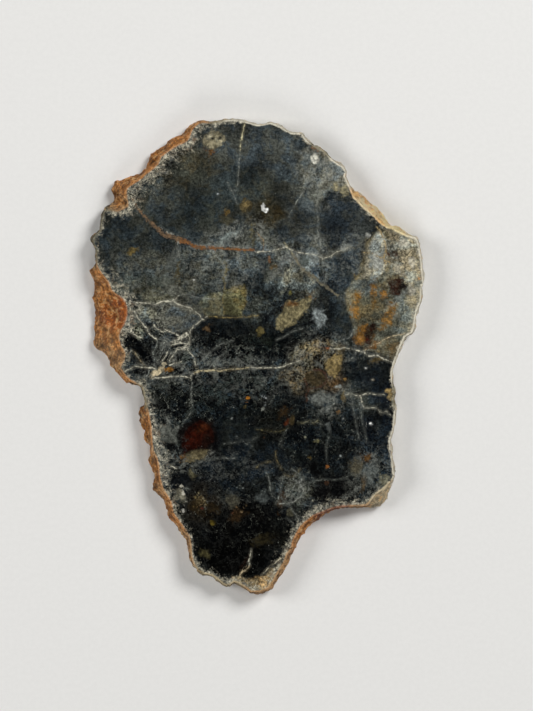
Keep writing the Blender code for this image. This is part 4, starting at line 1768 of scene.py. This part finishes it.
def crust(bench, place, under):
    depth = bench.maths("DIVIDE", bench.number("rim_gap"), bench.number("crust_width"))
    drawn = bench.push(place, 0.8, 1.6)
    lumps = bench.grain(drawn, 0.60, 6, 0.74)
    from_middle = bench.maths("SUBTRACT", bench.grain(drawn, 0.55, 5), 0.5)
    thread = bench.step(bench.maths("ABSOLUTE", from_middle), 0.0, 0.030, 0.14, 0.0)
    limit = bench.step(depth, 0.0, 1.5, 0.39, 0.66)
    above = bench.maths("SUBTRACT", bench.maths("ADD", lumps, thread), limit)
    cover = bench.step(above, -0.04, 0.08)
    cover = bench.maths("MULTIPLY", cover, bench.step(depth, 1.2, 1.8, 1.0, 0.0))
    grains = bench.step(bench.grain(place, 1.5, 3, 0.88), 0.42, 0.53, 0.15, 1.0)
    edge = bench.step(bench.number("rim_gap"), 0.15, 0.60, 0.75, 0.0)
    pale = crust_colour(bench, drawn, place, depth)
    colour = bench.mix(edge, pale, bench.colour("rind_colour"))
    cover = bench.maths("MULTIPLY", cover, bench.maths("MAXIMUM", grains, edge))
    return bench.mix(cover, under, colour), cover


# %% [markdown]
# ## The polished face
# The layers go over each other in the order in which the stone got them: paste, rubble, cloud,
# hairlines, clasts, veins, crust. Polish makes the face smooth but not like glass: grains of
# different hardness stand a few hundredths of a millimetre apart, and the soft crust stays duller
# than the stone.

# %% Make the polished face
POLISH = 0.14


def polished_face():
    bench = Bench("polished_face")
    place = bench.place()
    colour = paste(bench, place, bench.colour("ground"))
    colour = rubble(bench, place, colour)
    colour = fragments(bench, place, colour, 2.4, 0.45, 0.40, 1.5, 0.65)
    colour = grit(bench, place, colour)
    colour = fragments(bench, place, colour, 0.8, 0.45, 0.30, 2.0, 0.65)
    colour = clouds(bench, place, colour)
    colour = hairlines(bench, place, colour, 5.0, 0.11, 0.45)
    colour = flecks(bench, place, colour)
    colour = clasts(bench, place, colour)
    colour, vein_cover = veins(bench, place, colour)
    colour, crust_cover = crust(bench, place, colour)
    chalky = bench.maths("MAXIMUM", vein_cover, crust_cover)
    polish = bench.step(bench.grain(place, 0.9, 4), 0.3, 0.7, 0.15, 0.24)
    roughness = bench.mix(chalky, polish, (0.60, 0.60, 0.60))
    height = bench.maths("SUBTRACT", bench.grain(place, 2.2, 4, 0.7), chalky)
    bench.relief(height, 0.00002, 0.25)
    return bench.finish(colour, roughness, POLISH)


face_finish = polished_face()

# %% [markdown]
# ## The weathered rind
# Desert iron stains the rind orange brown. It grew in layers that follow the rim, so its main
# noise is read at the layer stored on the points, squeezed across and stretched along. Its
# creases and the pits of a cell noise are darkened nearly to black as painted shade, and its
# crests are worn pale from handling and laid paler still as a painted highlight, with a strong
# bump, because this is the one rough surface of the object. Where the coat is pale, on the lip
# and the ledge, it is thin and keeps an even tone.

# %% Make the rind
# Painted shade: a near-black laid in the creases and the pits of the rind.
CREASE_SHADE = tint(46, 23, 9)
# Wear and painted highlight: a pale tone laid on the crests of the rind.
WORN_CREST_HIGHLIGHT = tint(228, 186, 128)


def layered_place(bench, place):
    """A place for noises whose features run along the rim."""
    flat = bench.vector("MULTIPLY", place, (0.7, 0.7, 0.0))
    across = bench.maths("MULTIPLY", bench.number("layer"), 1.0)
    up = bench.add("CombineXYZ", {"Z": across}).outputs[0]
    return bench.push(bench.vector("ADD", flat, up), 0.7, 1.3)


def weathered_rind():
    bench = Bench("weathered_rind")
    place = bench.place()
    coat = bench.colour("rind_colour")
    bands = bench.grain(layered_place(bench, place), 0.8, 7, 0.7)
    lumps = bench.grain(bench.push(place, 0.9, 0.9), 0.85, 6, 0.75)
    broad = bench.step(bench.grain(place, 0.30, 5), 0.40, 0.60, 0.78, 1.25)
    tone = bench.step(bands, 0.41, 0.59, 0.64, 1.36)
    fine = bench.step(lumps, 0.41, 0.59, 0.68, 1.34)
    sand = bench.step(bench.grain(place, 1.5, 3, 0.85), 0.40, 0.60, 0.78, 1.32)
    fine = bench.maths("MULTIPLY", fine, sand)
    vary = bench.maths("MULTIPLY", bench.maths("MULTIPLY", broad, tone), fine)
    blue = bench.add("SeparateColor", {"Color": coat}).outputs["Blue"]
    thin = bench.step(blue, 0.12, 0.55, 0.0, 0.75)
    evened = bench.maths("MULTIPLY", bench.maths("SUBTRACT", 1.05, vary), thin)
    colour = bench.vector("SCALE", coat, scale=bench.maths("ADD", vary, evened))
    bare = bench.maths("SUBTRACT", 1.0, thin)
    # Painted shade: the low parts of the bands, which the bump makes the creases, are darkened.
    crease_shade = bench.maths("MULTIPLY", bench.step(bands, 0.35, 0.41, 0.45, 0.0), bare)
    colour = bench.mix(crease_shade, colour, CREASE_SHADE)
    # Painted highlight with wear: the crests, high in both noises, are laid pale.
    crest_highlight = bench.maths("MULTIPLY", bench.step(bands, 0.48, 0.55), bench.step(lumps, 0.50, 0.56))
    colour = bench.mix(bench.maths("MULTIPLY", crest_highlight, 0.92), colour, WORN_CREST_HIGHLIGHT)
    holes = bench.cells(bench.push(place, 1.1, 0.7), 1.0).outputs["Distance"]
    # Painted shade: the pits, which the bump below dents, are darkened too.
    hole = bench.maths("MULTIPLY", bench.step(holes, 0.05, 0.22, 0.50, 0.0), bare)
    colour = bench.mix(hole, colour, CREASE_SHADE)
    height = bench.maths("ADD", bench.maths("MULTIPLY", bands, 1.4), lumps)
    height = bench.maths("SUBTRACT", height, bench.maths("MULTIPLY", hole, 0.35))
    bench.relief(height, 0.0014, 1.0)
    roughness = bench.step(bench.grain(place, 2.0, 3), 0.3, 0.7, 0.32, 0.70)
    return bench.finish(colour, roughness, 0.50)


rind_finish = weathered_rind()

# %% [markdown]
# ## The sawn back
# The back is the same stone cut by the same saw, but nobody polished it. The rock flour of the cut
# makes it paler and flatter in tone, and the blade left faint curved marks that all have the
# same centre, which a ring pattern with a far centre gives.

# %% Make the sawn back


def sawn_back():
    bench = Bench("sawn_back")
    place = bench.place()
    ground = bench.colour("ground")
    colour = paste(bench, place, ground)
    colour = rubble(bench, place, colour)
    colour = fragments(bench, place, colour, 2.4, 0.40, 0.4, 1.6, 0.7)
    colour = fragments(bench, place, colour, 1.0, 0.40, 0.4, 1.8, 0.6)
    colour, _ = veins(bench, place, colour)
    colour, _ = crust(bench, place, colour)
    flour = bench.step(bench.grain(place, 0.7, 5, 0.7), 0.3, 0.7, 0.22, 0.42)
    colour = bench.mix(flour, colour, tint(122, 120, 112))
    far = bench.vector("SUBTRACT", place, (190, -60, 0))
    rings = bench.add(
        "TexWave",
        {"Vector": far, "Scale": 0.16, "Distortion": 0.6, "Detail": 2.0},
        wave_type="RINGS",
        rings_direction="Z",
    ).outputs["Fac"]
    height = bench.maths("ADD", rings, bench.grain(place, 3.0, 3))
    bench.relief(height, 0.00003, 0.6)
    roughness = bench.step(rings, 0.0, 1.0, 0.72, 0.84)
    return bench.finish(colour, roughness, 0.25)


back_finish = sawn_back()

# %% [markdown]
# ## The floor's finish
# The floor is plain pale card. A trace of grain keeps it from looking like empty space.

# %% Make the card
CARD = tint(226, 225, 222)


def pale_card():
    bench = Bench("pale_card")
    place = bench.place()
    grain = bench.step(bench.grain(place, 0.9, 3), 0.3, 0.7, 0.985, 1.01)
    colour = bench.vector("SCALE", tuple(CARD), scale=grain)
    return bench.finish(colour, 0.9, 0.1)


floor.data.materials.append(pale_card())

# %% [markdown]
# ## Put it together
# The faces already carry the number of their finish, so the finishes only have to be added in
# that order. The stone then takes the place of the plain solid and moves with its body.

# %% Dress the stone
for finish in (face_finish, rind_finish, back_finish):
    stone.data.materials.append(finish)

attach(stone, body)
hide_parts("slice")
floor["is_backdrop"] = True

# %% [markdown]
# ## The size
# The finer surface must not change how big the stone is, so both boxes are printed.

# %% Print both boxes and finish
boxes = {"cad": solid_box, "visual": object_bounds()}
plain = {name: [[float(c) for c in corner] for corner in box] for name, box in boxes.items()}
for name, (low, high) in plain.items():
    print(name, "box in mm:", [round(1000 * (b - a), 2) for a, b in zip(low, high)])
